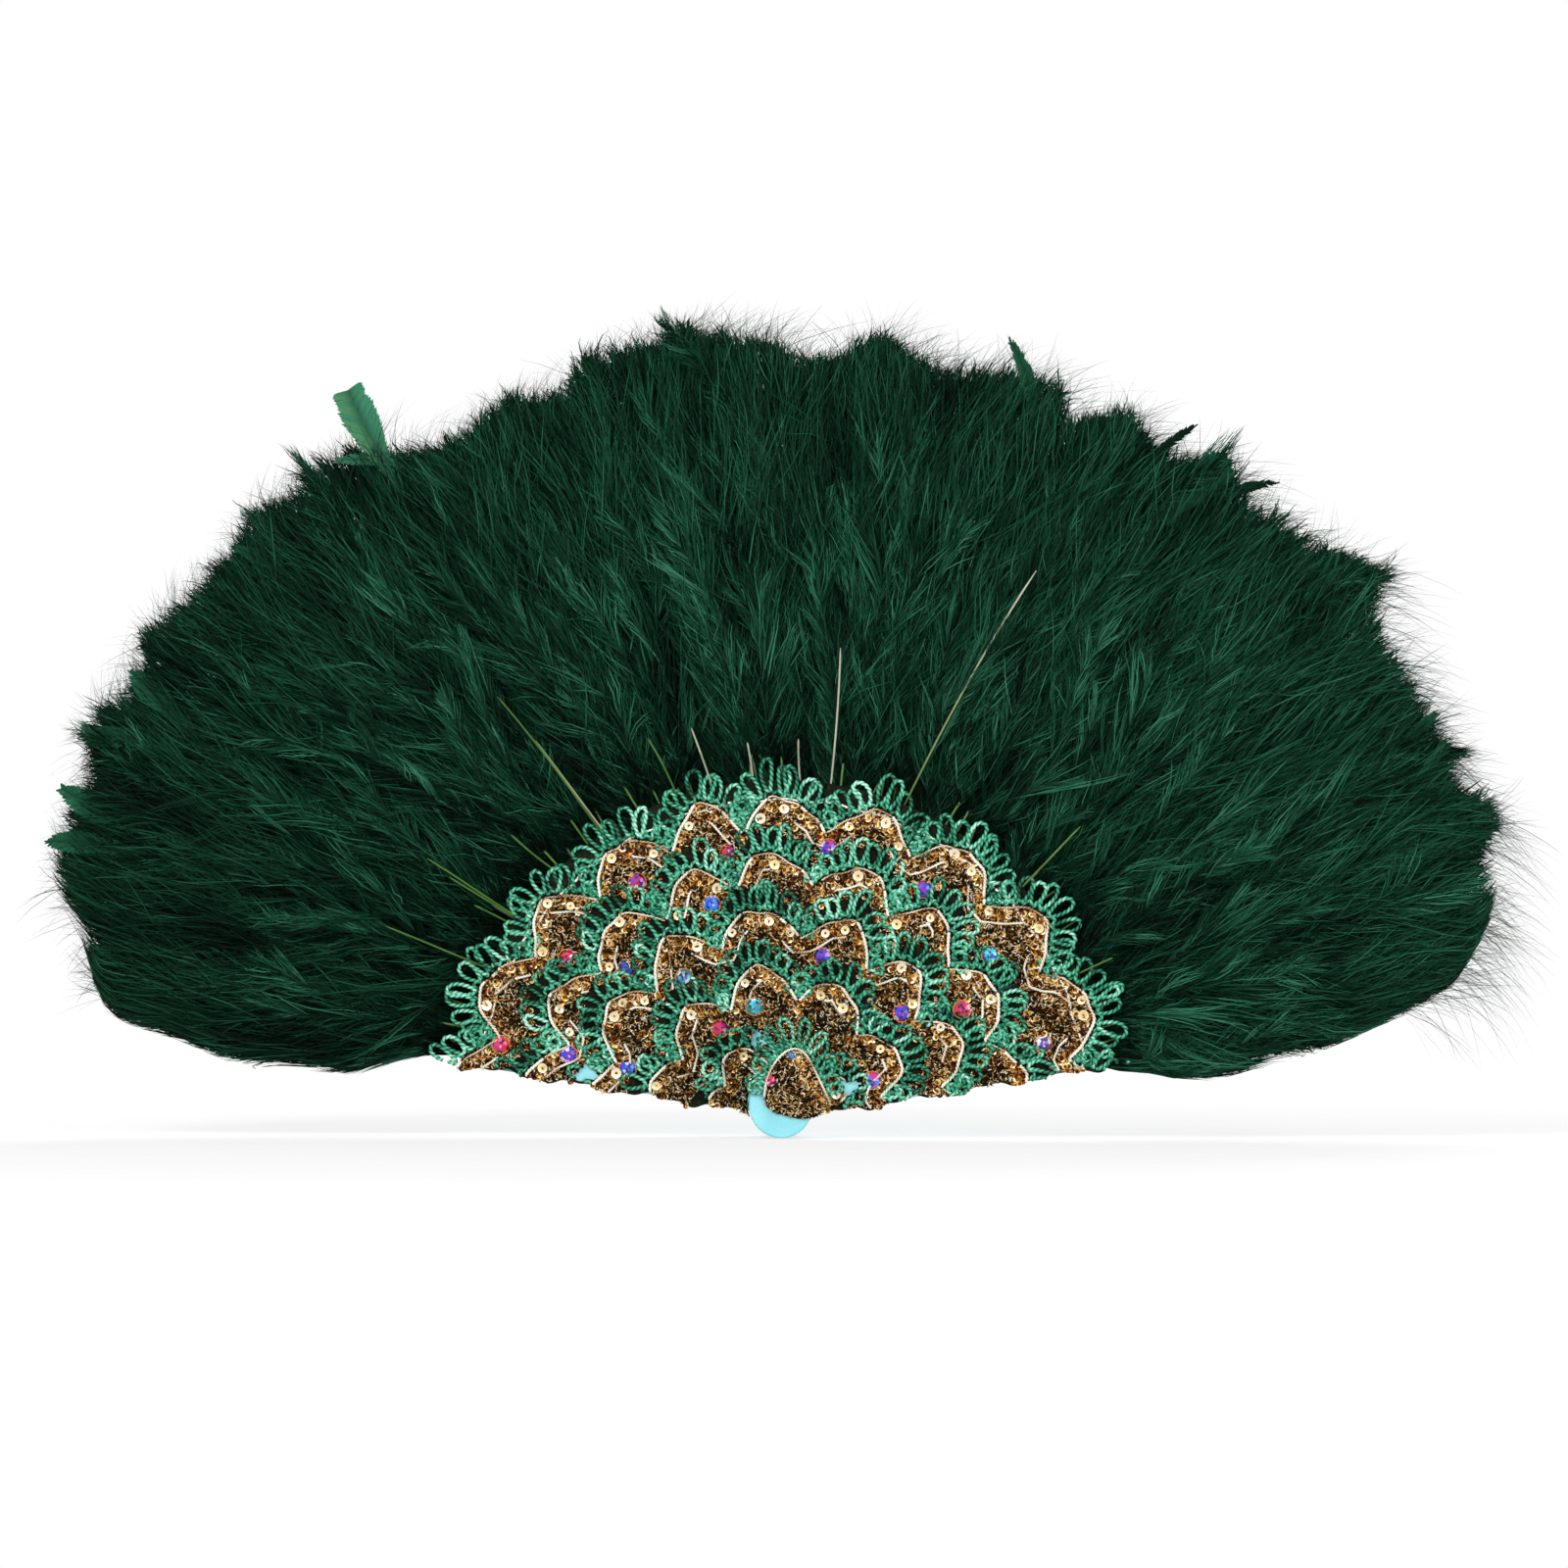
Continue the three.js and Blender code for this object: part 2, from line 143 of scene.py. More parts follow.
class Finish(Nodes):
    """A material on one Principled shader."""

    def __init__(self, name, **shader):
        self.material = bpy.data.materials.new(name)
        super().__init__(self.material)
        self.shader = self.tree.nodes["Principled BSDF"]
        self.set(**shader)

    def set(self, **shader):
        for key, value in shader.items():
            self.feed(self.shader.inputs[key.replace("_", " ")], value)

    def place(self):
        return self.out("ShaderNodeTexCoord", output="Object")

    def distance(self):
        """How far a place lies from the middle of its object's own frame."""
        return self.out("ShaderNodeVectorMath", {"operation": "LENGTH"}, {0: self.place()}, "Value")

    def baked_map(self):
        """The two values that a piece's OFBake map holds at each place."""
        corner = self.out("ShaderNodeUVMap", {"uv_map": "OFBake"})
        parts = self.node("ShaderNodeSeparateXYZ", None, {0: corner})
        return Socket(self, parts.outputs[0]), Socket(self, parts.outputs[1])

    def noise(self, scale, detail, roughness=0.5):
        inputs = {"Vector": self.place(), "Scale": scale, "Detail": detail, "Roughness": roughness}
        return self.out("ShaderNodeTexNoise", None, inputs)

    def ramp(self, factor, *stops):
        return self.out("ShaderNodeValToRGB", {"stops": stops}, {"Fac": factor})

    def mix(self, factor, first, second, way="MIX"):
        settings = {"data_type": "RGBA", "blend_type": way}
        return self.out("ShaderNodeMix", settings, {0: factor, 6: first, 7: second}, 2)

    def bump(self, height, strength, distance):
        inputs = {"Height": height, "Strength": strength, "Distance": distance}
        return self.out("ShaderNodeBump", None, inputs)


# Floor, daylight and lamps: a pale floor that the fan stands on, and an even, soft studio light. The eye
# sees white beyond the floor, and so do shining and clear things.
sky_strength = 0.55
world = bpy.data.worlds.new("studio")
bpy.context.scene.world = world
sky = Nodes(world)
rays = sky.node("ShaderNodeLightPath").outputs
seen = Socket(sky, rays["Is Camera Ray"])
for kind in ("Glossy", "Transmission"):
    seen = seen.math("MAXIMUM", Socket(sky, rays[f"Is {kind} Ray"]))
strength = sky.out("ShaderNodeMapRange", None, {"To Min": sky_strength, "To Max": 1.0, "Value": seen})
background = sky.tree.nodes["Background"].inputs
background["Color"].default_value = (1, 1, 1, 1)
sky.feed(background["Strength"], strength)


def lamp(name, place, target, size, watts):
    data = bpy.data.lights.new(name, "AREA")
    data.shape = "DISK"
    data.size = size
    data.energy = watts
    thing = bpy.data.objects.new(name, data)
    thing.location = place
    aim = np.array(target) - np.array(place)
    thing.rotation_euler = Vector(aim).to_track_quat("-Z", "Y").to_euler()
    bpy.context.scene.collection.objects.link(thing)


fan_middle = (0, 0, 0.14)
lamp("key_lamp", (-0.9, -1.7, 1.5), fan_middle, 0.9, 26)
lamp("fill_lamp", (1.3, -1.6, 0.7), fan_middle, 1.2, 12)
lamp("back_lamp", (0.6, 1.8, 1.2), fan_middle, 1.2, 30)

floor_reach = 6.0
floor_drop = 0.3 * mm
floor_z = cad_box[0][2] - floor_drop
floor_mesh = bpy.data.meshes.new("floor")
corners = [(-1, -1), (1, -1), (1, 1), (-1, 1)]
floor_points = [(x * floor_reach, y * floor_reach, floor_z) for x, y in corners]
floor_mesh.from_pydata(floor_points, [], [(0, 1, 2, 3)])
floor = bpy.data.objects.new("floor", floor_mesh)
bpy.context.scene.collection.objects.link(floor)
paper = Finish("white paper floor", Roughness=0.9, Specular_IOR_Level=0.0)
paper.set(Base_Color=paper.ramp(paper.noise(60.0, 3.0), (0.3, "#f4f4f3"), (0.7, "#fafaf9")))
glow = paper.out("ShaderNodeEmission", None, {"Color": (1, 1, 1, 1), "Strength": 1.0})
faded = paper.ramp(paper.distance() * 0.5, (0.15, "#d4d4d4"), (0.6, "#ffffff"))
share = paper.out("ShaderNodeLightPath", output="Is Camera Ray") * faded
plain = Socket(paper, paper.shader.outputs[0])
blend = paper.out("ShaderNodeMixShader", None, {0: share, 1: plain, 2: glow})
paper.feed(paper.tree.nodes["Material Output"].inputs["Surface"], blend)
floor_mesh.materials.append(paper.material)

# The leaves: nine blades of clear cyan plastic, moulded thin, that fan out from a round head.
# Their ends are painted dark, a painted see-through of the feathers glued behind them.
leaf_bodies = [
    "left_guard", "leaf_2", "leaf_3", "leaf_4", "middle_leaf", "leaf_6", "leaf_7", "leaf_8", "right_guard",
]
leaf_blades = [
    "left_guard_blade", *[f"blade_{n}" for n in range(2, 9)], "right_guard_blade",
]
last_leaf = len(leaf_bodies) - 1
middle_leaf = 4
# The middle leaf has no joint of its own, so its down follows the right guard's.
leaf_joints = [f"{body}_fold" for body in leaf_bodies]
leaf_joints[middle_leaf] = "right_guard_fold"
leaf_step = 18.25
leaf_angles = [90 + (middle_leaf - i) * leaf_step for i in range(len(leaf_bodies))]
# A leaf's plane is the middle of its blade; its quills start this far behind it, in millimetres.
plane_to_quills = 0.9
leaf_planes = [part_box(f"quills_{i + 1}")[0][1] / mm - plane_to_quills for i in range(len(leaf_bodies))]
blade_end = 124.0
neck_half = 5.0
end_half = 21.5


plastic = Finish("cyan moulded plastic", Roughness=0.28, IOR=1.46)
clouds = plastic.noise(55.0, 3.0)
flecks = plastic.noise(900.0, 2.0)
cyan = plastic.ramp(clouds, (0.25, "#86d3de"), (0.5, "#98e4ef"), (0.8, "#a6eef7"))
# Painted see-through: the blade's end is painted the dark green of the down behind it.
see_through_share = plastic.ramp(plastic.distance() * 6.0, (0.59, "#000000"), (0.66, "#ffffff"))
plastic.set(
    Base_Color=plastic.mix(see_through_share, cyan, linear("#0e2e26")),
    Roughness=0.2 + flecks * 0.18,
    Normal=plastic.bump(clouds + flecks * 0.15, 0.25, 0.2 * mm),
)
for name in [*leaf_blades, "pivot_cap", "back_washer", "rivet_pin"]:
    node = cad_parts[name]
    node.data.materials.clear()
    node.data.materials.append(plastic.material)


def piece_from(name, points, quads, triangles, shade, finish, body, slot):
    """A mesh piece in the fan's frame, from points in millimetres. The OFBake map holds each corner's
    shade across and its share of the way along up, which the finish turns into a colour."""
    mesh = bpy.data.meshes.new(name)
    quads = np.asarray(quads, np.int32).reshape(-1, 4)
    triangles = np.asarray(triangles, np.int32).reshape(-1, 3)
    corners = np.concatenate([quads.ravel(), triangles.ravel()])
    starts = np.concatenate([np.arange(len(quads)) * 4, 4 * len(quads) + np.arange(len(triangles)) * 3])
    mesh.vertices.add(len(points))
    mesh.vertices.foreach_set("co", np.asarray(points, np.float32).ravel() * mm)
    mesh.loops.add(len(corners))
    mesh.loops.foreach_set("vertex_index", corners.astype(np.int32))
    mesh.polygons.add(len(starts))
    mesh.polygons.foreach_set("loop_start", starts.astype(np.int32))
    bake_map = mesh.uv_layers.new(name="OFBake")
    bake_map.data.foreach_set("uv", np.asarray(shade, np.float32)[corners].ravel())
    mesh.update(calc_edges=True)
    mesh.validate()
    mesh.polygons.foreach_set("use_smooth", np.ones(len(mesh.polygons), bool))
    mesh.materials.append(finish.material)
    piece = bpy.data.objects.new(name, mesh)
    bpy.context.scene.collection.objects.link(piece)
    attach(piece, body)
    return piece


# The plumes: soft turkey down dyed bottle green. Each leaf has some fifty feathers in tiers, glued by
# their quills to the back of the blade's end. Every barb is a thin tapering strip, and neighbours cling
# in tufts.
down_finish = Finish(
    "dyed green down", Roughness=0.62, Specular_IOR_Level=0.05,
    Sheen_Weight=0.03, Sheen_Roughness=0.35, Sheen_Tint=linear("#3fae82"),
)
down_tone, down_along = down_finish.baked_map()
# The down's tone holds the dye's own random variation and also the painted shade and painted highlights of
# the barbs.
dye_and_painted_shade = down_finish.ramp(
    down_tone,
    (0.0, "#010804"), (0.2, "#04170c"), (0.4, "#0e3523"), (0.6, "#20593f"), (0.8, "#3a7f62"),
    (0.86, "#4f8a5f"), (0.95, "#1d6034"),
)
# Painted shade: each barb is painted darker towards its root.
root_shade = down_finish.ramp(down_along, (0.0, "#a8a8a8"), (0.4, "#e4e4e4"), (1.0, "#ffffff"))
down_finish.set(Base_Color=down_finish.mix(1.0, dye_and_painted_shade, root_shade, "MULTIPLY"))


def radial(radius, angle, depth):
    turn = np.radians(angle)
    return np.stack([radius * np.cos(turn), depth + 0 * radius, radius * np.sin(turn)], axis=-1)


def unit(vectors):
    return vectors / np.maximum(np.linalg.norm(vectors, axis=-1, keepdims=True), 1e-9)


down_depth = 11.3
clump_step = 8.6
notch_depth = 6.5
rim_radius = 285.0
# The angles at which the fan's outline turns, and how far the dense down reaches from the rivet there.
rim_places = [
    (0, 158), (5, 200), (10, 266), (15, 281), (20, 293), (35, 290), (42, 306), (46, 302), (50, 291),
    (55, 301), (60, 291), (76, 297), (90, 291), (97, 302), (104, 294), (118, 286), (126, 307), (134, 302),
    (151, 303), (161, 296), (165, 283), (172.3, 268), (174.6, 232), (180, 158),
]


def parting(radius, angle):
    """How deep a place lies between two clumps of feathers: 0 on a clump, up to 1 in the parting."""
    sway = 2.6 * np.sin(radius * 0.03 + angle * 0.17) + 1.1 * np.sin(radius * 0.083 - angle * 0.31)
    near = (1 + np.cos(np.radians((angle + sway) * 360 / clump_step))) / 2
    return near**3 * (0.62 + 0.38 * np.sin(radius * 0.05 + angle * 0.9))


def rim(angle):
    """How far the dense down reaches from the rivet at an angle, with a notch at each parting."""
    lobes = 2.8 * np.sin(np.radians(angle) * 36) + 2.0 * np.sin(np.radians(angle) * 53)
    return np.interp(angle, *zip(*rim_places)) + lobes - notch_depth * parting(rim_radius, angle)


def in_clumps(line, colour, sunk):
    """Barbs gathered into clumps: those in a parting lie deeper and carry painted shade that makes them
    darker.
    The down is darker close to the trim and a little paler on the fan's right side."""
    middle = line[:, 2]
    radius = np.hypot(middle[:, 0], middle[:, 2])
    angle = np.degrees(np.arctan2(middle[:, 2], middle[:, 0]))
    apart = parting(radius, angle)
    line = np.array(line)
    line[..., 1] += sunk * apart[:, None] * barb_stations[None]
    paler = 0.05 + 0.045 * np.interp(angle, [40, 110, 165], [1, 0, -0.8])
    paler = paler - 0.07 * np.interp(radius, [125, 185], [1, 0])
    # Painted shade: the barbs in a parting are painted darker.
    return line, np.clip(colour + paler - 0.19 * apart, 0.02, 0.8)


# The down's lower edge at both ends of the fan: its angle above the rivet's level, at these distances.
skirt_radii = (112, 130, 150, 165, 190, 225, 256, 275, 300)
left_skirt = (9.5, 8.2, 5.6, 4.0, 4.0, 4.6, 7.1, 11.1, 17.1)
right_skirt = (9.5, 6.0, 3.6, 4.0, 4.9, 6.5, 8.5, 12.4, 18.4)


def within_outline(line, rng):
    """Points of the barbs, with those beyond the rim drawn in and those below the lower edge laid along it,
    each barb a little looser or closer than the next."""
    radius = np.hypot(line[..., 0], line[..., 2])
    angle = np.degrees(np.arctan2(line[..., 2], line[..., 0]))
    angle = np.where(angle < -90, angle + 360, angle)
    rise = np.minimum(angle, 180 - angle)
    loose = rng.normal(0, 1, (len(line), 1))
    on_left = np.interp(radius, skirt_radii, left_skirt)
    on_right = np.interp(radius, skirt_radii, right_skirt)
    low = np.where(angle > 90, on_left, on_right) + 0.45 * np.sin(radius * 0.14)
    low = low + 0.5 * loose * np.interp(radius, [130, 200], [0, 1])
    soft = 3.0
    lifted = np.where(rise < low + soft, low + soft * np.exp((rise - low - soft) / soft), rise)
    turned = np.where(angle <= 90, lifted, 180 - lifted)
    most = rim(turned) + 5 + 3.0 * loose
    give = 12.0
    drawn = np.where(radius > most - give, most - give * np.exp((most - give - radius) / give), radius)
    return radial(drawn, turned, line[..., 1])


def behind_trim(line, plane):
    """Keeps the barbs near the leaves' ends behind the lace picots that hang over them."""
    radius = np.hypot(line[..., 0], line[..., 2])
    nearest = plane + np.interp(radius, [114, 124, 135, 152], [0.9, 4.4, 4.4, -14])
    pressed = np.array(line)
    pressed[..., 1] = np.maximum(line[..., 1], nearest)
    return pressed


barb_stations = np.array([0.0, 0.3, 0.56, 0.8, 1.0])
barb_taper = np.array([0.8, 1.0, 0.85, 0.55, 0.0])


def bent(first, elbow, last):
    """The centre lines of barbs that bend at their elbows."""
    s = barb_stations[None, :, None]
    return first[:, None] * (1 - s) ** 2 + 2 * elbow[:, None] * s * (1 - s) + last[:, None] * s**2


def barbs(rng, root, tip, bend, barb, spacing, tone, roll, cup, thickness, cling=0.42):
    """The barbs of one feather from its root to its tip, both (radius, angle, depth). Returns the barbs'
    centre lines, their edge directions, widths and tones."""
    length = math.hypot(tip[0] - root[0], math.radians(tip[1] - root[1]) * tip[0])
    number = 2 * max(8, int(length / spacing))
    place = np.sort(rng.uniform(0.03, 1.0, number))
    side = np.where(np.arange(number) % 2 == 0, 1.0, -1.0)

    def shaft(t):
        ease = t * t * (3 - 2 * t) * 0.5 + t * 0.5
        radius = root[0] + (tip[0] - root[0]) * t
        angle = root[1] + (tip[1] - root[1]) * ease
        angle = angle + np.degrees(bend * np.sin(np.pi * np.clip(t, 0, 1)) / radius)
        depth = root[2] + (tip[2] - root[2]) * np.clip(t, 0, 2) ** 1.2
        return radial(radius, angle, depth)

    centre = shaft(place)
    forward = unit(shaft(place + 0.02) - shaft(place - 0.02))
    right = unit(np.cross(np.array([0, 1.0, 0]), forward))
    back = np.cross(forward, right)
    turn = np.radians(roll + rng.normal(0, 9, number))[:, None]
    right, back = right * np.cos(turn) + back * np.sin(turn), back * np.cos(turn) - right * np.sin(turn)

    # Tufts are runs of neighbouring barbs on one side that bend alike. Strands are the few barbs of a tuft
    # that cling together to one tip.
    _, tuft = np.unique(np.cumsum(rng.random(number) < 0.06) * 2 + (side > 0), return_inverse=True)
    tufts = tuft.max() + 1
    split = rng.random(number) < 0.14
    _, strand = np.unique(tuft * number + np.cumsum(split), return_inverse=True)
    strands = strand.max() + 1
    swing = rng.normal(0, 9, tufts)[tuft] + rng.normal(0, 5, strands)[strand]
    curl = rng.normal(0, 17, tufts)[tuft] + rng.normal(0, 10, strands)[strand]
    stretch = np.clip(rng.normal(1, 0.16, tufts)[tuft] * rng.normal(1, 0.14, strands)[strand], 0.5, 1.5)
    lift = rng.normal(0, 3.2, tufts)[tuft] + rng.normal(0, 1.3, strands)[strand]
    tint = rng.normal(0, 0.08, tufts)[tuft]
    lopsided = 1 + 0.22 * side * rng.normal()

    opening = 11 + 27 * (1 - place) ** 0.8 + swing + rng.normal(0, 3, number)
    profile = np.interp(place, [0, 0.2, 0.8, 0.93, 1], [0.45, 1, 1, 0.82, 0.5])
    size = barb * profile * stretch * lopsided * rng.uniform(0.75, 1.15, number)
    start = np.radians(opening)[:, None]
    end = np.radians(opening * 0.25 + curl)[:, None]
    sideways = right * side[:, None]
    reach = 0.5 * size[:, None]
    elbow = centre + reach * (forward * np.cos(start) + sideways * np.sin(start))
    finish = elbow + reach * (forward * np.cos(end) + sideways * np.sin(end))
    totals = np.zeros((strands, 3))
    np.add.at(totals, strand, finish)
    meeting = (totals / np.bincount(strand, minlength=strands)[:, None])[strand]
    pull = np.clip(rng.normal(cling, 0.2, strands), 0, 0.9)[strand] * np.interp(place, [0.75, 1], [1, 0.5])
    finish += (meeting - finish) * pull[:, None] + rng.normal(0, 0.7, finish.shape)
    finish[:, 1] += lift + cup * (size / barb) ** 2
    finish[:, 2] -= size * 0.05
    elbow += rng.normal(0, 0.8, finish.shape)
    elbow[:, 1] += lift * 0.3 + cup * 0.2

    line = bent(centre, elbow, finish)
    direction = unit(finish - centre)
    flat = unit(np.cross(direction, back))
    twist = rng.uniform(-1.1, 1.1, number)[:, None]
    edge = flat * np.cos(twist) + back * np.sin(twist)
    line[:, 1:-1] += rng.normal(0, 1, (number, 3, 3)) * (0.35, 0.9, 0.35)
    line[..., 1] = root[2] + down_depth * np.tanh((line[..., 1] - root[2]) / down_depth)

    # One strand in four catches the light: it is broader and paler than the dark ones about it.
    bright = (rng.random(strands) < 0.26)[strand]
    width = thickness * rng.uniform(0.7, 1.25, number) * np.where(bright, 1.1, 1.0)
    glow = rng.uniform(0.06, 0.3, strands)[strand] + rng.normal(0, 0.07, number)
    shade = rng.uniform(-0.18, 0.04, strands)[strand] + rng.normal(0, 0.05, number)
    lit = np.where(bright, glow, shade)
    # Painted shade: a feather is painted darker towards its root and paler towards its tip, and a barb is
    # painted darker the further back its tip lies.
    colour = tone + tint + lit + 0.12 * (place - 0.5) - 0.013 * (finish[:, 1] - root[2])
    return line, edge, width[:, None] * barb_taper[None], np.clip(colour, 0.02, max(0.8, tone + 0.05))


def strips(parts):
    """One mesh from the barbs of many feathers: points, quads, triangles and map corners."""
    line, edge, width, colour = (np.concatenate([part[i] for part in parts]) for i in range(4))
    number = len(line)
    last = len(barb_stations) - 1
    left = line[:, :last] + edge[:, None] * width[:, :last, None] / 2
    right = line[:, :last] - edge[:, None] * width[:, :last, None] / 2
    pairs = np.stack([left, right], axis=2).reshape(number, -1, 3)
    points = np.concatenate([pairs, line[:, last:]], axis=1)
    first = (np.arange(number) * points.shape[1])[:, None, None]
    steps = np.arange(last - 1)[:, None] * 2
    quads = first + steps[None] + np.array([0, 1, 3, 2])
    triangles = first[:, 0] + np.array([2 * last - 2, 2 * last - 1, 2 * last])
    across = np.array([-1, 1] * last + [0]) * 0.004
    up = np.concatenate([np.repeat(barb_stations[:last], 2), [1.0]])
    map_up = np.repeat(up[None] * 0.96 + 0.02, number, 0)
    corners = np.stack([colour[:, None] + across[None], map_up], axis=-1)
    return points.reshape(-1, 3), quads.reshape(-1, 4), triangles, corners.reshape(-1, 2)


# The tiers of a leaf's feathers, the back half and the front half. For each tier: how many feathers it has,
# how far they end short of the rim, how far behind the leaf's plane they stand, then the length, droop,
# tone and thickness of their barbs.
back_tiers = [
    (9, 9, 7.0, 27, 2.0, 0.3, 0.54), (8, 16, 4.0, 28, 1.0, 0.34, 0.5), (7, 58, 6.5, 28, 2.0, 0.3, 0.54),
]
front_tiers = [
    (7, 26, 0.0, 28, 5.5, 0.38, 0.36), (6, 50, -3.5, 28, 6.5, 0.4, 0.36),
    (6, 82, -6.0, 27, 6.5, 0.39, 0.36), (6, 116, -6.5, 25, 4.5, 0.35, 0.36),
]
tip_spread = 11.3
root_spread = 7.5
root_radius = 112.0
shortest_reach = 140.0
back_spacing = 0.39
front_spacing = 0.33


def plume(index, tiers, seed, spacing, sunk):
    rng = np.random.default_rng(seed + index)
    plane = leaf_planes[index]
    parts = []
    for order, (count, short, depth, barb, cup, tone, thickness) in enumerate(tiers):
        for share in np.linspace(-1, 1, count) + 0.06 * (-1) ** order:
            off = share + rng.normal(0, 0.07)
            tip_angle = leaf_angles[index] + off * tip_spread
            reach = rim(tip_angle) - short * rng.uniform(0.8, 1.25) + rng.normal(0, 2.5)
            root_angle = leaf_angles[index] + off * root_spread
            root = (root_radius + rng.uniform(0, 5), root_angle, plane + plane_to_quills + 0.12 * depth)
            reach = max(reach, shortest_reach)
            tip = (reach, tip_angle + rng.normal(0, 1.3), plane + depth + rng.normal(0, 1.4))
            line, edge, width, colour = barbs(
                rng, root, tip, rng.normal(0, 7.0), barb * rng.uniform(0.85, 1.15), spacing,
                tone + rng.normal(0, 0.045), rng.normal(0, 26), cup, thickness,
            )
            line, colour = in_clumps(line, colour, sunk)
            parts.append((behind_trim(within_outline(line, rng), plane), edge, width, colour))
    return parts


def loose_down(index, number, near, far, tones, widths, sunk, seed):
    """The loose fine barbs that fill a leaf's down between its feathers, half of them close to the rim."""
    rng = np.random.default_rng(seed + index)
    angle = leaf_angles[index] + rng.uniform(-11.2, 11.2, number)
    most = rim(angle)
    start = np.where(rng.random(number) < 0.5, 118.0, 215.0)
    inner = np.sqrt(start**2 + ((most - 9) ** 2 - start**2) * rng.random(number))
    length = rng.uniform(13, 32, number)
    outer = np.minimum(inner + length, most + rng.normal(0, 3.5, number))
    sway = 0.2 * np.sin(inner * 0.09 + angle * 0.5) + rng.normal(0, 0.2, number)
    heading = np.degrees(sway * (outer - inner) / inner)
    depth = leaf_planes[index] + rng.uniform(near, far, number)
    first = radial(inner, angle, depth)
    last = radial(outer, angle + heading, depth + np.clip(rng.normal(0, 1.8, number), -3.5, 3.5))
    elbow = (first + last) / 2 + np.clip(rng.normal(0, 1.8, first.shape), -3.5, 3.5)
    line = bent(first, elbow, last)
    edge = unit(rng.normal(0, 1, (number, 3)) * np.array([1, 0.5, 1]))
    width = rng.uniform(*widths, (number, 1)) * barb_taper[None]
    line, colour = in_clumps(line, rng.uniform(*tones, number), sunk)
    return behind_trim(within_outline(line, rng), leaf_planes[index]), edge, width, colour


# How far the longest wisps reach to the sides and up.
widest = 298.5
highest = 313.5


def wisps(index, number, seed):
    """Hair-fine single barbs that stand beyond the rim: few and short on the left, long on the right."""
    rng = np.random.default_rng(seed + index)
    angle = leaf_angles[index] + rng.uniform(-9.5, 9.5, number)
    longer = np.interp(angle, [10, 60, 110], [1.0, 0.8, 0.3])
    inner = rim(angle) - rng.uniform(6, 26, number)
    outer = rim(angle) + rng.uniform(-2, 7, number) + 15 * longer * rng.random(number) ** 2
    heading = rng.normal(0, 2.2, number) - (1.2 + 5.0 * rng.random(number) ** 2) * longer
    turn = np.radians(angle + heading)
    outer = np.minimum(outer, widest / np.abs(np.cos(turn)))
    outer = np.minimum(outer, highest / np.maximum(np.sin(turn), 0.1))
    depth = leaf_planes[index] + rng.uniform(-4, 7, number)
    first = radial(inner, angle, depth)
    last = radial(outer, angle + heading, depth + np.clip(rng.normal(0, 2, number), -3.5, 3.5))
    elbow = radial(inner * 0.45 + outer * 0.55, angle + heading * 0.2, depth)
    elbow = elbow + rng.normal(0, 1.2, elbow.shape)
    line = bent(first, elbow, last)
    rise = np.minimum(angle, 180 - angle)
    line = line[rise > 9]
    edge = unit(rng.normal(0, 1, (len(line), 3)))
    width = rng.uniform(0.14, 0.28, (len(line), 1)) * barb_taper[None]
    return line, edge, width, rng.uniform(0.2, 0.55, len(line))


# Vane tips: the few feathers whose firm leaf-like ends show at the rim, smoother and paler than the down.
# Root and tip as radius and angle, then the half-width, how square the end is, and the tone.
vane_tips = [
    (272, 121.9, 319, 121.3, 7.5, 0.85, 0.85), (282, 120.6, 300, 124.8, 2.6, 0.2, 0.8),
    (274, 69.6, 306, 73.5, 3.0, 0.0, 0.56), (262, 65.6, 283, 64.2, 2.6, 0.0, 0.5),
    (270, 150.0, 302, 152.2, 4.2, 0.2, 0.6), (262, 157.0, 301, 156.4, 5.2, 0.4, 0.64),
    (262, 158.6, 299, 160.4, 4.6, 0.2, 0.62), (266, 147.4, 299, 146.4, 4.6, 0.2, 0.62),
    (274, 133.0, 300, 134.6, 2.6, 0.1, 0.58), (274, 43.0, 300, 44.6, 2.6, 0.0, 0.54),
    (264, 56.6, 299, 55.4, 7.5, 0.3, 0.6), (276, 60.4, 304, 58.6, 2.0, 0.0, 0.3),
    (280, 54.4, 304, 51.4, 2.2, 0.0, 0.34), (268, 30.2, 292, 31.0, 2.4, 0.0, 0.62),
]
vane_steps = 40


def vane(parts, root, tip, half, square, tone, plane):
    """A firm feather end: a thin cupped sheet on both sides of its shaft, split here and there."""
    rng = np.random.default_rng(int(root[0] * tip[1]))
    along = np.linspace(0, 1, vane_steps)
    angle = root[1] + (tip[1] - root[1]) * along**1.6
    centre = radial(root[0] + (tip[0] - root[0]) * along, angle, plane - 1.5 - 1.5 * along)
    forward = unit(np.gradient(centre, axis=0))
    right = unit(np.cross(np.array([0, 1.0, 0]), forward))
    outline = np.clip(np.sin(np.pi * along ** (1 + square)) ** 0.7, 0.04, 1)
    outline = np.maximum(outline, square * (along > 0.5)) * half
    for side in (-1.0, 1.0):
        slant = 1.3 * (1 - square * along[:, None] ** 3)
        ends = centre + forward * outline[:, None] * slant + right * side * outline[:, None]
        ends = ends + rng.normal(0, 0.2, ends.shape)
        s = barb_stations[None, :, None]
        line = centre[:, None] * (1 - s) + ends[:, None] * s
        line[..., 1] += 1.2 * (s[..., 0] ** 2) * side
        width = 1.7 * (tip[0] - root[0]) / vane_steps * np.array([1, 1.05, 1.05, 0.95, 0.6])
        edge = forward + 0 * centre
        shade = np.clip(tone + rng.normal(0, 0.02, vane_steps) - 0.04 * (side > 0), 0.02, 0.97)
        parts.append((line, edge, np.tile(width, (vane_steps, 1)), shade))


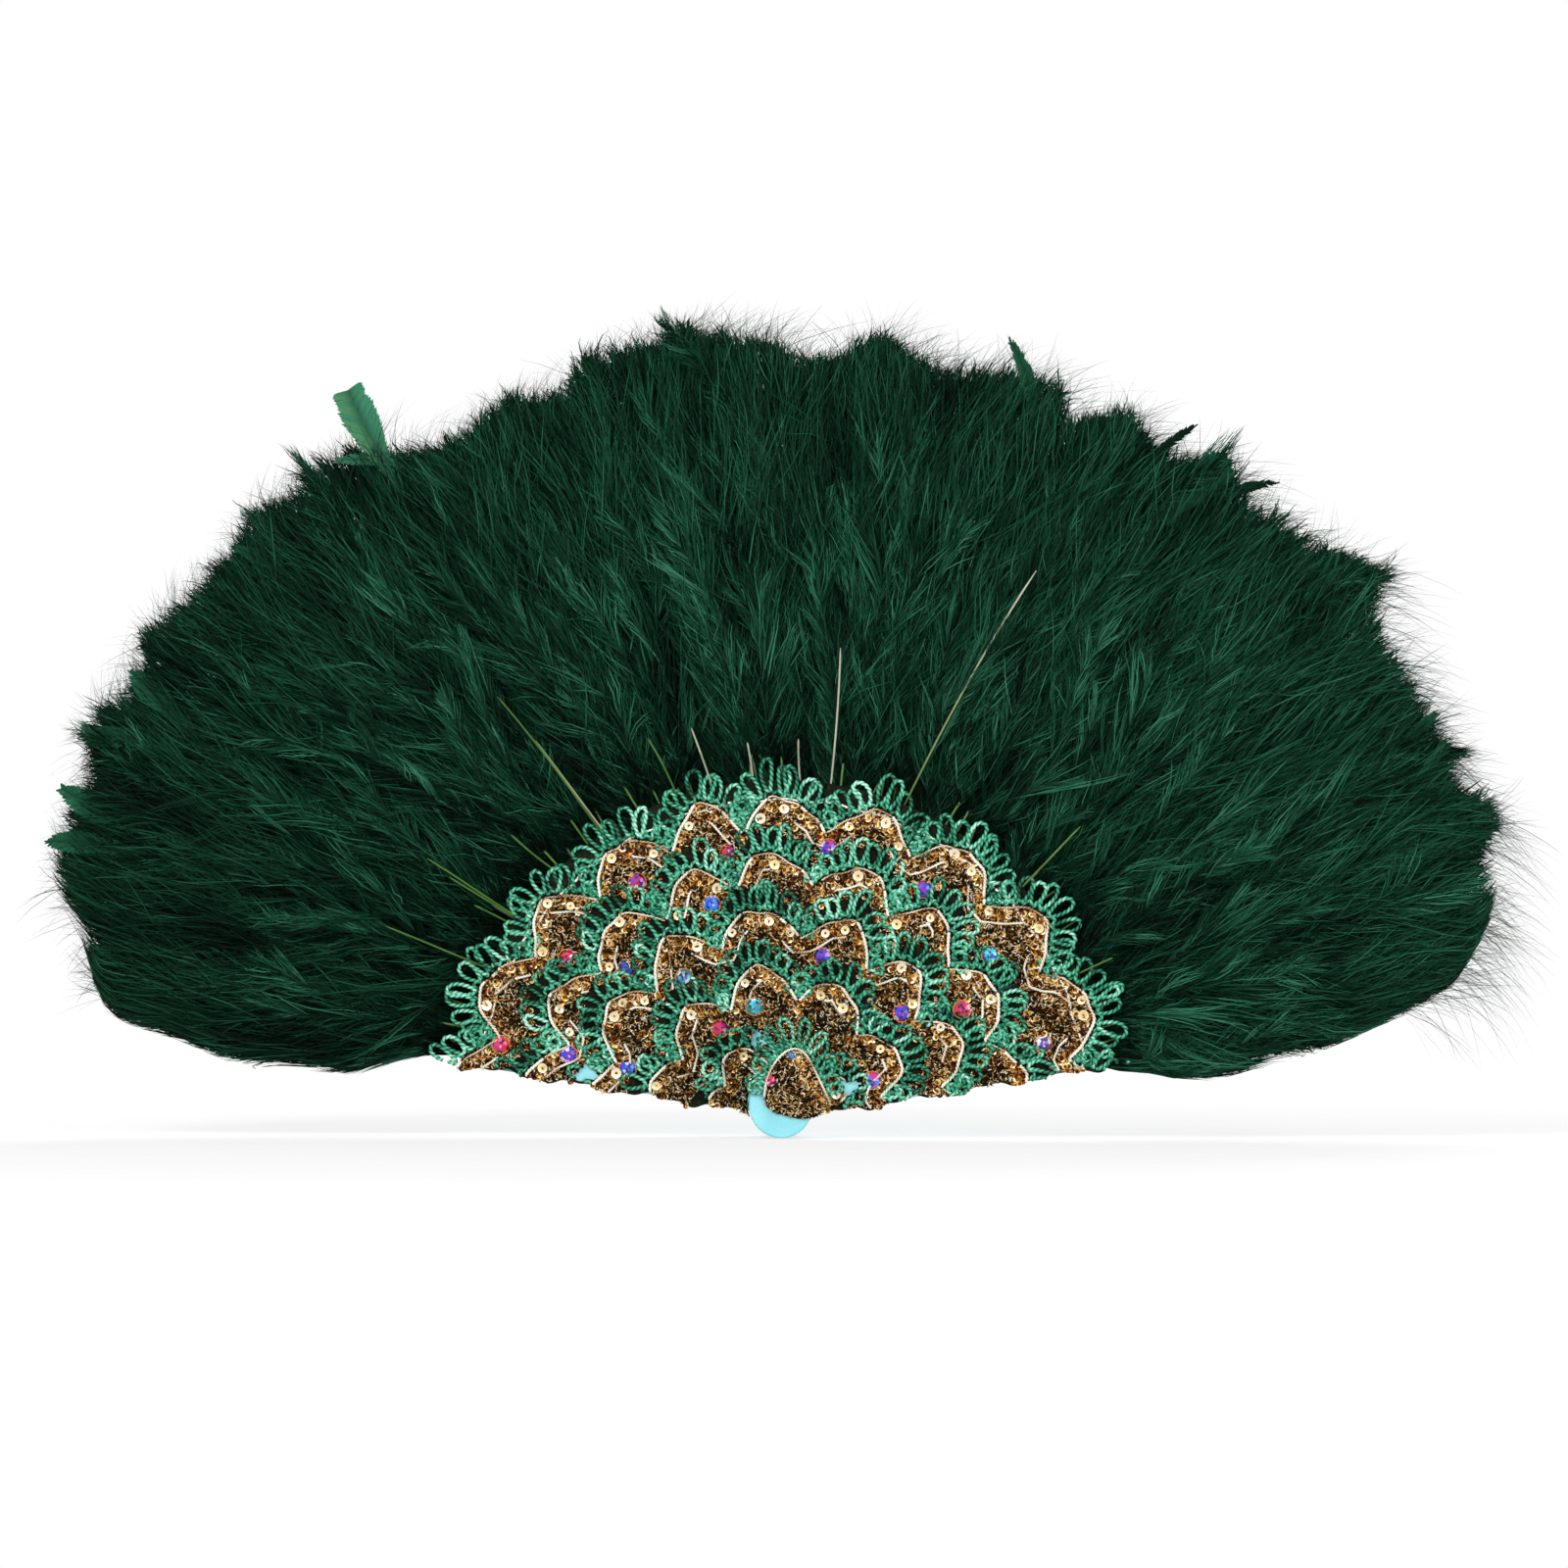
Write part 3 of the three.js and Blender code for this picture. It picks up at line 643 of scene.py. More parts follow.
# Rim tufts: the ends of longer feathers that stand out past the rim. Root and tip as radius and angle, then
# how far the shaft bends sideways, and the length of its barbs.
rim_tufts = [
    (266, 94.8, 301, 98.4, -3.5, 13), (258, 58.2, 297, 55.8, 2.0, 16), (262, 43.8, 303, 41.4, 3.0, 15),
    (264, 127.4, 303, 126.6, -2.0, 14), (262, 154.0, 299, 151.8, -2.5, 13), (262, 30.4, 290, 27.6, 3.0, 13),
]
tuft_rng = np.random.default_rng(919)
sunk_depth = 3.0
# The back and the front half of a leaf's down: its tiers, seed, barb spacing and how deep its partings lie.
down_pieces = (
    ("back", back_tiers, 5200, back_spacing, 0.0), ("front", front_tiers, 4200, front_spacing, sunk_depth),
)


def over_leaf(index, feathers):
    """The listed feathers whose tips stand over a leaf."""
    return [row for row in feathers if abs(row[3] - leaf_angles[index]) <= leaf_step / 2]


for index, body in enumerate(leaf_bodies):
    plane = leaf_planes[index]
    for half, tiers, seed, spacing, sunk in down_pieces:
        parts = plume(index, tiers, seed, spacing, sunk)
        if half == "back":
            parts.append(loose_down(index, 6900, 0.5, 7.0, (0.12, 0.4), (0.5, 0.95), sunk, 7300))
            parts.append(wisps(index, 750, 6100))
            for inner, inner_angle, outer, outer_angle, *shape in over_leaf(index, vane_tips):
                vane(parts, (inner, inner_angle), (outer, outer_angle), *shape, plane)
            for inner, inner_angle, outer, outer_angle, bend, barb in over_leaf(index, rim_tufts):
                root, tip = (inner, inner_angle, plane - 2), (outer, outer_angle, plane - 4)
                parts.append(barbs(tuft_rng, root, tip, bend, barb, 0.17, 0.36, 10, 1.0, 0.32, cling=0.4))
        else:
            parts.append(loose_down(index, 3400, -6.0, 1.0, (0.2, 0.64), (0.3, 0.52), sunk, 8700))
        points, quads, triangles, corners = strips(parts)
        name = f"{half}_down_{index + 1}"
        piece = piece_from(name, points, quads, triangles, corners, down_finish, body, "feather")
        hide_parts(f"plume_{index + 1}")
        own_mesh(piece)

# The trim: rows of scalloped lace glued over the blades and cut at each leaf's edge, so that the fan folds.
# A row has a cream cord along its scallops, picot loops of green cord outside it and gold work inside it.
# Crests are where the picture shows them, as angles about the rivet; an inner row lies over an outer one.
trim_rows = [
    {
        "angles": (0, 18.5, 35.5, 53.5, 71, 90.5, 105, 122.4, 140.5, 158, 176),
        "crests": (126, 125, 123, 121, 118.5, 118, 119, 118, 120, 124, 126), "dip": 13, "loop": 11.5,
    },
    {
        "angles": (7, 28.5, 50, 70, 93, 111, 133.4, 154.4, 175),
        "crests": (94, 94, 95, 96, 97, 95.5, 96, 98, 98), "dip": 12, "loop": 9.5,
    },
    {
        "angles": (-6, 19.3, 45.7, 69.3, 97.5, 124.5, 152.3, 180),
        "crests": (73, 74, 73, 75.5, 75.5, 77, 77, 76), "dip": 12, "loop": 9.5,
    },
    {
        "angles": (-14, 24, 61.5, 100, 138, 174),
        "crests": (50, 49.5, 51, 53.5, 52, 52), "dip": 11, "loop": 9.0,
    },
    {"angles": (-25, 22, 71, 136, 190), "crests": (26, 27, 15, 29, 30), "dip": 7, "loop": 7.5},
]
# Where the blades show through a worn gap in the trim: radius, angle and size.
bare_spots = [(26.4, 108, 3.2), (75.6, 171.2, 3.4), (26.5, 15.6, 3.4)]
plait_sides = 5
cap_radius = 13.0


def flat_place(radius, angle):
    """Places on the flat fan, across and up from the rivet."""
    turn = np.radians(angle)
    return np.stack([radius * np.cos(turn), radius * np.sin(turn)], axis=-1)


def on_face(flat, level):
    """Flat places set at a depth, or each at a depth of its own."""
    return np.stack([flat[:, 0], np.full(len(flat), level), flat[:, 1]], axis=1)


def run_along(line):
    """How far along a line each of its points lies."""
    return np.concatenate([[0], np.cumsum(np.linalg.norm(np.diff(line, axis=0), axis=1))])


def stretches(mark):
    """The point numbers of a line, cut wherever a mark changes."""
    return np.split(np.arange(len(mark)), np.flatnonzero(np.diff(mark)) + 1)


def half_width(along):
    return neck_half + (end_half - neck_half) * along / blade_end


def half_angle(width, radius):
    """The angle that a width takes up at a radius."""
    return np.degrees(np.arcsin(np.clip(width / np.maximum(radius, 1), 0, 1)))


def leaf_shown(radius, angle):
    """Which leaf shows at a place on the open fan: each leaf lies over the one on its left."""
    edge = half_angle(half_width(radius), radius)
    shown = np.zeros(np.shape(radius), int)
    for i in range(len(leaf_bodies)):
        shown = np.where(angle <= leaf_angles[i] + edge, i, shown)
    return shown


def row_height(row, angle):
    """How high in its scallop a row's cord lies: 1 at the broad crests, 0 in the narrow dips."""
    crests = np.array(row["angles"], float)
    upper = np.clip(np.searchsorted(crests, angle), 1, len(crests) - 1)
    share = (angle - crests[upper - 1]) / (crests[upper] - crests[upper - 1])
    return np.clip((1 + np.cos(2 * np.pi * share)) / 2, 0, 1) ** 0.5


def row_edge(row, angle):
    """How far a row's cream cord lies from the rivet at an angle."""
    arc = np.radians(angle) * row["crests"][0]
    wobble = 0.9 * np.sin(arc * 0.25 + row["dip"]) + 0.4 * np.sin(arc * 0.6)
    crest = np.interp(angle, row["angles"], row["crests"])
    return crest - row["dip"] * (1 - row_height(row, angle)) + wobble


def polar_of(points):
    """The radius and angle of flat points, with the angles running on past the left guard."""
    angle = np.degrees(np.arctan2(points[:, 1], points[:, 0]))
    return np.hypot(points[:, 0], points[:, 1]), np.where(angle < -90, angle + 360, angle)


def in_bare_spot(points):
    found = np.zeros(len(points), bool)
    for radius, angle, size in bare_spots:
        away, turn = polar_of(points - flat_place(radius, angle))
        ragged = 0.25 * np.sin(np.radians(3 * turn + angle)) + 0.2 * np.cos(np.radians(2 * turn))
        found |= away < size * (1 + ragged)
    return found


def overhang(radius):
    """How far the trim hangs over the outer edge of a guard, which it follows unevenly."""
    return 0.6 + 1.0 * np.sin(radius * 0.22) + 0.6 * np.sin(radius * 0.57 + 1)


def on_trim(points, margin=0.0):
    """Whether places lie between the outer edges of the two guards, outside the pivot's cap and where the
    trim isn't worn away."""
    inside = np.hypot(*points.T) > cap_radius
    for angle, outward in ((leaf_angles[0], 1), (leaf_angles[last_leaf], -1)):
        turn = math.radians(angle)
        along = points[:, 0] * math.cos(turn) + points[:, 1] * math.sin(turn)
        across = (points[:, 1] * math.cos(turn) - points[:, 0] * math.sin(turn)) * outward
        inside &= across < half_width(along) + overhang(along) + margin
    return inside & ~in_bare_spot(points)


def evenly(line, step):
    """A line's points set at even steps along it."""
    run = run_along(line)
    places = np.linspace(0, run[-1], max(3, int(run[-1] / step) + 1))
    return np.stack([np.interp(places, run, line[:, k]) for k in range(line.shape[1])], axis=1)


def cut_at_leaves(line):
    """A flat line cut where it crosses from one leaf to the next: pairs of leaf number and stretch."""
    radius, angle = polar_of(line)
    leaf = leaf_shown(radius, angle)
    mark = np.where(on_trim(line), leaf, -1)
    for stretch in stretches(mark):
        if mark[stretch[0]] >= 0 and len(stretch) > 3:
            yield mark[stretch[0]], line[stretch]


class Pile:
    """The points, faces and map corners of many small things that make one mesh."""

    def __init__(self):
        self.points, self.quads, self.triangles, self.corners = [], [], [], []
        self.number = 0

    def add(self, points, corners, quads=(), triangles=()):
        self.points.append(points)
        self.quads.append(np.asarray(quads, int).reshape(-1, 4) + self.number)
        self.triangles.append(np.asarray(triangles, int).reshape(-1, 3) + self.number)
        self.corners.append(corners)
        self.number += len(points)

    def piece(self, name, finish, body, slot):
        joined = [np.concatenate(part) for part in (self.points, self.quads, self.triangles, self.corners)]
        return piece_from(name, *joined, finish, body, slot)


# Painted shade and highlight on a cord: how much darker a strand is painted where it goes under the other,
# and paler where it comes to the front.
ply_painted_shade = 0.46


def bands(number, sides):
    """The quads between closed rings of points."""
    row = np.arange(number)[:, None] * sides
    column = np.arange(sides)
    after = (column + 1) % sides
    return np.stack([row + column, row + after, row + sides + after, row + sides + column], axis=-1)


def side_and_up(line, reference):
    """The two directions square to a line at each of its points."""
    forward = unit(np.gradient(line, axis=0))
    side = unit(np.cross(forward, np.array(reference)))
    return side, np.cross(side, forward)


def tube(pile, line, radius, sides, tone, taper=0.6):
    """A closed round tube along a line of three-dimensional points, with a tone for its map."""
    side, up = side_and_up(line, [0.02, 1.0, 0.01])
    turn = np.arange(sides) * 2 * np.pi / sides
    size = np.full(len(line), radius)
    size[[0, -1]] *= taper
    ring = np.cos(turn)[None, :, None] * side[:, None] + np.sin(turn)[None, :, None] * up[:, None]
    points = (line[:, None] + ring * size[:, None, None]).reshape(-1, 3)
    fan = np.array([(0, k, k + 1) for k in range(1, sides - 1)])
    ends = np.concatenate([fan[:, ::-1], fan + (len(line) - 1) * sides])
    up_map = np.repeat(np.linspace(0.02, 0.98, len(line)), sides)
    along_tone = np.broadcast_to(tone, len(line))[:, None]
    across = (along_tone + 0.006 * np.cos(turn)[None]).ravel()
    pile.add(points, np.stack([across, up_map], axis=-1), bands(len(line) - 1, sides), ends)


def two_ply(pile, line, radius, lay, tone):
    """A cord of two strands laid round each other; lay is the length of one turn. Each strand is painted
    brighter, as a painted highlight, where it comes to the front and darker, as painted shade, where it
    goes under the other."""
    line = evenly(line, lay / 7)
    side, up = side_and_up(line, [0.0, 1.0, 0.0])
    turn = run_along(line) * 2 * np.pi / lay
    for ply, shift in enumerate((0, np.pi)):
        off = np.cos(turn + shift)[:, None] * side + np.sin(turn + shift)[:, None] * up * (1, 0.7, 1)
        shown = np.interp(np.linspace(0, 1, len(line)), np.linspace(0, 1, np.size(tone)), np.ravel(tone))
        # Painted light: the stretch of a strand that faces the front is painted paler, and the stretch
        # behind is painted darker.
        shown = shown - ply_painted_shade * off[:, 1] + 0.04 * ply
        tube(pile, line + off * radius * 0.48, radius * 0.58, plait_sides, np.clip(shown, 0.01, 0.99))


def lay_free(pile, flat, level, radius, lay, tone, patchy=0.0):
    """A cord along a flat line at a depth. A patchy one is bright in some stretches and dull in others."""
    tones = tone + patchy * trim_rng.normal(0, 1, 2 + len(flat) // 14)
    two_ply(pile, on_face(flat, level), radius, lay, tones)


def lay_cord(piles, line, depth, radius, lay, tone, patchy=0.0):
    """A cord along a flat line on the open fan, cut at the leaves' edges and laid at a depth on each."""
    for leaf, stretch in cut_at_leaves(evenly(line, 0.35)):
        lay_free(piles[leaf], stretch, leaf_planes[leaf] - depth, radius, lay, tone, patchy)


def picot(foot, out, length, width, lean):
    """A loop of cord that stands out from its foot: narrow at the foot and round at the head."""
    s = np.linspace(0.03, 0.97, 26)
    rise = (1 - np.cos(2 * np.pi * s)) / 2
    spread = np.sin(2 * np.pi * s) * (0.5 + 0.75 * rise)
    across = np.array([-out[1], out[0]])
    shift = lean * rise[:, None] ** 2 * across
    return foot + length * rise[:, None] * out + (width / 2) * spread[:, None] * across + shift


def ring_curl(middle, size, start):
    s = np.linspace(0, 1.12 * 2 * np.pi, 22) + start
    swell = np.linspace(0.86, 1.06, 22)
    return middle + size * swell[:, None] * np.stack([np.cos(s), np.sin(s)], axis=1)


# Green cord: rayon yarn, two strands laid together, that makes the picots and the braid at their feet.
# Its strands are painted nearly black where one goes under the other and pale where they come to the front:
# painted shade and painted highlights.
green_cord = Finish(
    "green rayon cord", Roughness=0.5, Specular_IOR_Level=0.2,
    Sheen_Weight=0.05, Sheen_Tint=linear("#9be8c8"),
)
green_cord.set(
    Base_Color=green_cord.ramp(
        green_cord.baked_map()[0],
        (0.0, "#03140c"), (0.25, "#0b3d2a"), (0.5, "#20795a"), (0.75, "#5cbf9a"), (1.0, "#c4f5e2"),
    )
)

# Cream cord: a twisted cord with a pale gloss, couched along every scallop. The white link thread has the
# same finish, at its palest.
cream_cord = Finish("cream twisted cord", Roughness=0.4, Sheen_Weight=0.05)
cream_cord.set(
    Base_Color=cream_cord.ramp(
        cream_cord.baked_map()[0], (0.0, "#4a3018"), (0.3, "#a07c54"), (0.6, "#e6d6bb"), (1.0, "#fdf8ec")
    )
)

# Gold work: metallic thread, foil sequins and glitter, from dark brown to bright straw. Some of it is
# copper: the map's second value is the share of that colour.
gold_work = Finish("gold thread and sequins", Roughness=0.32, Metallic=0.5, Specular_IOR_Level=0.12)
gold_tone, copper_share = gold_work.baked_map()
straw = gold_work.ramp(
    gold_tone, (0.0, "#0c0703"), (0.3, "#482c12"), (0.55, "#bb8740"), (0.78, "#f4d898"), (1.0, "#fffaf0")
)
copper = gold_work.ramp(
    gold_tone, (0.0, "#140803"), (0.3, "#5f2c08"), (0.55, "#c97a20"), (0.78, "#f5c461"), (1.0, "#fff4cc")
)
gold_work.set(Base_Color=gold_work.mix(copper_share, straw, copper))

trim_rng = np.random.default_rng(77)
cord_lay = 4.0
green_piles, cream_piles, gold_piles, stone_piles = ([Pile() for _ in leaf_bodies] for _ in range(4))


def edge_line(row, inset):
    """The line of a row's scallops, set in towards the rivet, and the way outward along it."""
    angle = np.arange(3.0, 177.0, 0.2)
    line = flat_place(row_edge(row, angle), angle)
    ahead = unit(np.gradient(line, axis=0))
    outward = np.stack([ahead[:, 1], -ahead[:, 0]], axis=1)
    return line - outward * inset, outward


def zones(points):
    """The gold work at places on the fan: how deep each lies inside its row's cord, or -1 where green
    cord or nothing lies over it."""
    radius, angle = polar_of(points)
    depth = np.full(len(points), -1.0)
    found = np.zeros(len(points), bool)
    for row in trim_rows[::-1]:
        edge = row_edge(row, angle)
        fringe = edge + row["loop"] * (0.5 + 0.4 * row_height(row, angle))
        inside = (radius <= edge) & ~found
        depth[inside] = (edge - radius)[inside]
        found |= radius <= fringe
    return depth


for order, row in enumerate(trim_rows):
    front = 0.75 if order == 0 else 1.3
    edge, outward = edge_line(row, 0)
    run = run_along(edge)
    # The cord shows bright and thick down the scallops' steep sides, and dull and thin over their crests.
    line = edge_line(row, 0.5)[0]
    steep = np.abs(outward[:, 0]) > 0.62
    for stretch in stretches(steep):
        thick, tone = (0.66, 0.7) if steep[stretch[0]] else (0.4, 0.34)
        if len(stretch) > 6:
            lay_cord(cream_piles, line[stretch], 1.45, thick, 2.8, tone, patchy=0.2)

    # A second, thinner cord lies inside the first under each crest.
    inner, _ = edge_line(row, 6.6)
    bare = (zones(inner) > 5.2) & (np.sin(run * 0.13 + 2.1 * order) > 0.1)
    for stretch in stretches(bare):
        if bare[stretch[0]] and len(stretch) > 12:
            lay_cord(cream_piles, inner[stretch], 1.35, 0.5, 2.4, 0.6, patchy=0.25)

    # The braid at the picots' feet: a cord that winds to and fro.
    wave = 1.6 + 1.0 * np.sin(run * 2 * np.pi / 3.3)
    lay_cord(green_piles, edge + outward * wave[:, None], front - 0.1, 0.72, cord_lay, 0.36, patchy=0.12)

    place = 1.0
    while place < run[-1] - 1:
        k = int(np.interp(place, run, np.arange(len(run))))
        radius, angle = polar_of(edge[k : k + 1])
        height = row_height(row, angle[0])
        away = unit(outward[k] + 0.35 * edge[k] / radius[0])
        foot = edge[k] + outward[k] * 1.0
        tone = np.clip(0.4 + trim_rng.normal(0, 0.1), 0.16, 0.66)
        depth = front + trim_rng.uniform(-0.18, 0.18)
        if height < 0.3 and trim_rng.random() < 0.55:
            size = trim_rng.uniform(1.7, 2.4)
            middle = edge[k] + outward[k] * trim_rng.uniform(2.6, 5.0)
            curl = ring_curl(middle, size, trim_rng.uniform(0, 6))
            lay_cord(green_piles, curl, depth, 0.72, cord_lay, tone, patchy=0.12)
            place += trim_rng.uniform(3.0, 3.8)
        else:
            length = row["loop"] * (0.56 + 0.44 * height) * trim_rng.uniform(0.8, 1.16)
            width = trim_rng.uniform(4.2, 5.9)
            loop = picot(foot, away, length, width, trim_rng.normal(0, 1.7))
            lay_cord(green_piles, loop, depth, 0.88, cord_lay, tone, patchy=0.14)
            place += width * 0.76


def scattered(step):
    """Places all over the trim, on a jittered grid."""
    across = np.arange(-130, 130, step)
    up = np.arange(-7, 124, step)
    grid = np.stack(np.meshgrid(across, up), axis=-1).reshape(-1, 2)
    grid = grid + trim_rng.uniform(-0.5, 0.5, grid.shape) * step
    return grid[on_trim(grid, 0.2)]


def foil(pile, point, level, radius, tilt, facing, tone, copper, sides, hole=0.0, cup=0.25, painted_glint=0.005):
    """A cupped foil sequin; with a hole it is a ring. A ring's painted glint makes one side lighter and
    the other darker, and its inner edge has painted shade.
    """
    middle = on_face(point[None], level)
    turn = np.arange(sides) * 2 * np.pi / sides + facing
    lean = math.sin(tilt)
    normal = np.array([lean * math.cos(facing), -math.cos(tilt), lean * math.sin(facing)])
    side = unit(np.cross(normal, np.array([0.0, 0.1, 1.0])))
    up = np.cross(normal, side)
    circle = np.cos(turn)[:, None] * side + np.sin(turn)[:, None] * up
    rim_points = middle + radius * circle
    if hole:
        inner = middle - normal * cup + hole * circle
        both = np.tile(turn, 2)
        corners = np.full((2 * sides, 2), (tone, copper))
        # Painted light: a glint that runs round the ring, and painted shade on its inner edge.
        corners[:, 0] += painted_glint * np.cos(both - facing) - np.repeat([0.0, 0.16 + painted_glint], sides)
        corners[:, 0] = np.clip(corners[:, 0], 0.01, 0.99) + 0.004 * np.cos(both)
        corners[:, 1] += 0.005 * np.sin(both)
        pile.add(np.concatenate([rim_points, inner]), corners, quads=bands(1, sides))
    else:
        points = np.concatenate([rim_points, middle - normal * cup])
        after = (np.arange(sides) + 1) % sides
        triangles = np.stack([np.arange(sides), after, np.full(sides, sides)], axis=1)
        corners = np.full((sides + 1, 2), (tone, copper))
        corners[:sides, 0] += 0.02 * np.cos(turn)
        corners[:sides, 1] += 0.01 * np.sin(turn)
        pile.add(points, corners, triangles=triangles)


def at_leaf(point):
    radius, angle = polar_of(point[None])
    return int(leaf_shown(radius, angle)[0])


# Sequins: flat foil under every cream cord in a band about six millimetres wide.
grid = scattered(1.3)
band_start = 0.8
band_end = 6.5
for point, depth in zip(grid, zones(grid)):
    in_band = band_start < depth < band_end
    if not in_band and not (depth > band_end and trim_rng.random() < 0.12):
        continue
    leaf = at_leaf(point)
    level = leaf_planes[leaf] - trim_rng.uniform(0.5, 1.0)
    tone = np.clip(trim_rng.beta(0.85, 0.95), 0.03, 0.97)
    # Each sequin ring has a strong painted glint: lighter on one side and darker on the other.
    foil(
        gold_piles[leaf], point, level, trim_rng.uniform(1.0, 1.45), trim_rng.uniform(0, 0.5),
        trim_rng.uniform(0, 6.28), tone, np.clip(trim_rng.normal(0.72, 0.3), 0.02, 0.98),
        sides=7, hole=0.34, painted_glint=0.26,
    )

# Glitter ground: short ends of metallic thread lying all ways, closer than the sequins.
def glitter_end(pile, point, level):
    heading = trim_rng.uniform(0, 3.14)
    length = trim_rng.uniform(0.7, 1.9)
    s = np.linspace(-0.5, 0.5, 3)[:, None]
    bow = trim_rng.normal(0, 0.3)
    way = np.array([math.cos(heading), 0, math.sin(heading)])
    line = on_face(point[None], level) + s * length * way
    line = line + (0.25 - s**2) * bow * np.array([-math.sin(heading), -1.0, math.cos(heading)])
    tone = np.clip(trim_rng.beta(0.6, 0.72), 0.02, 0.98)
    tube(pile, line, trim_rng.uniform(0.2, 0.34), 3, tone, taper=0.7)
    pile.corners[-1][:, 1] = 0.1 + 0.25 * trim_rng.random()


grid = scattered(0.82)
for point, depth in zip(grid, zones(grid)):
    if depth < 0.6 or (depth < 6.0 and trim_rng.random() < 0.55):
        continue
    leaf = at_leaf(point)
    glitter_end(gold_piles[leaf], point, leaf_planes[leaf] - trim_rng.uniform(0.45, 1.25))

# Ring sequins: bright pale rings with a small hole, sewn here and there along the bands.
for order, row in enumerate(trim_rows):
    line, _ = edge_line(row, 3.3)
    free = zones(line) > 2.5
    place = 0
    while place < len(line):
        point = line[place] + trim_rng.normal(0, 0.7, 2)
        place += int(trim_rng.uniform(6, 32) / (0.0035 * row["crests"][0]))
        if not free[min(place, len(line) - 1)]:
            continue
        if not on_trim(point[None], -1.5)[0]:
            continue
        leaf = at_leaf(point)
        foil(
            gold_piles[leaf], point, leaf_planes[leaf] - 1.5, trim_rng.uniform(1.6, 2.1),
            trim_rng.uniform(0, 0.35), trim_rng.uniform(0, 6.28), trim_rng.uniform(0.92, 0.99),
            trim_rng.choice([0.05, 0.3, 0.6]), sides=12, hole=0.45, cup=0.35,
        )

# Stones: faceted plastic brilliants between six and seven millimetres across, glued on under the crests.
# Their foil backs throw two colours, so each has a first and a second one: radius, angle, then the two.
stone_colours = {
    "red": 0.0, "magenta": 0.14, "purple": 0.28, "blue": 0.42,
    "sky": 0.56, "cyan": 0.7, "teal": 0.84, "white": 1.0,
}
stones = [
    (98.4, 101.7, "red", "magenta"), (99.9, 79.6, "blue", "magenta"), (101.4, 122.9, "purple", "red"),
    (98.8, 56.6, "blue", "purple"), (81.0, 109.2, "sky", "blue"), (99.3, 145.8, "red", "magenta"),
    (78.9, 138.3, "blue", "teal"), (61.0, 127.5, "teal", "blue"), (58.8, 74.5, "purple", "blue"),
    (98.3, 35.7, "cyan", "blue"), (38.8, 105.1, "teal", "cyan"), (37.1, 128.8, "red", "magenta"),
    (58.0, 37.4, "blue", "magenta"), (78.2, 28.0, "red", "magenta"), (102.5, 13.3, "white", "purple"),
    (110.0, 168.2, "red", "magenta"), (83.9, 167.1, "purple", "blue"), (60.4, 167.1, "blue", "sky"),
    (36.2, 15.6, "magenta", "sky"),
]
stone_radius = 3.3
stone_sides = 9
glass = Finish("foiled stone", Roughness=0.1, Metallic=0.3, Coat_Weight=0.6)
stone_tone, stone_light = glass.baked_map()
palette = glass.ramp(
    stone_tone,
    (0.0, "#d8102c"), (0.14, "#d41284"), (0.28, "#7a26cc"), (0.42, "#2030d8"),
    (0.56, "#2f7ff0"), (0.7, "#38cdea"), (0.84, "#0a7d84"), (1.0, "#e6dcff"),
)
# Painted light on the facets: a low second value paints a facet near black, as a painted dark reflection,
# and a high one paints it white, as a painted glint.
painted_dark_facet = glass.ramp(stone_light, (0.1, "#ffffff"), (0.4, "#000000"))
shaded = glass.mix(painted_dark_facet, palette, linear("#08081a"))
painted_white_facet = glass.ramp(stone_light, (0.7, "#000000"), (1.0, "#ffffff"))
glass.set(Base_Color=glass.mix(painted_white_facet, shaded, linear("#f4f2ff")))


def brilliant(pile, point, level, first, second, size):
    """A cut stone: a girdle, two rings of facets and a small table. Each facet is in the stone's first or
    its second colour, and some are painted dark as a painted reflection or white as a painted glint."""
    rings = [(1.0, 0.25), (1.0, 0.75), (0.72, 1.45), (0.38, 1.85)]
    table_height = 1.87

    def side_of(ring, k):
        share, lift = ring
        ends = (k + np.array([0, 1])) * 2 * np.pi / stone_sides
        return np.stack([np.cos(ends) * share, np.sin(ends) * share, [lift, lift]], axis=1)

    facets = []
    for lower, upper in zip(rings, rings[1:]):
        facets += [(side_of(lower, k), side_of(upper, k)[::-1]) for k in range(stone_sides)]
    facets += [(side_of(rings[-1], k), [[0, 0, table_height]]) for k in range(stone_sides)]
    for facet in facets:
        shape = np.concatenate(facet)
        height = shape[:, 2] * size / stone_radius
        points = on_face(point + shape[:, :2] * size, level - height)
        tone = stone_colours[first if trim_rng.random() < 0.6 else second]
        tone = np.clip(tone + trim_rng.normal(0, 0.02), 0.01, 0.99)
        # Painted light: most facets are plain, some are painted dark and a few are painted as white glints.
        light = trim_rng.choice([0.12, 0.4, 0.6, 0.9], p=[0.28, 0.4, 0.24, 0.08])
        corners = np.full((len(points), 2), (tone, light)) + 0.004 * shape[:, :2]
        if len(points) == 4:
            pile.add(points, corners, quads=[(0, 1, 2, 3)])
        else:
            pile.add(points, corners, triangles=[(0, 1, 2)])


for radius, angle, first, second in stones:
    place = flat_place(radius, angle)
    leaf = at_leaf(place)
    brilliant(stone_piles[leaf], place, leaf_planes[leaf] - 0.15, first, second, stone_radius)
    turn = np.linspace(0, 2 * np.pi, 25)
    claw = np.stack([np.cos(turn), 0 * turn, np.sin(turn)], axis=1) * (stone_radius + 0.15)
    claw = claw + np.array([place[0], leaf_planes[leaf] - 0.95, place[1]])
    tube(gold_piles[leaf], claw, 0.22, 5, 0.6)

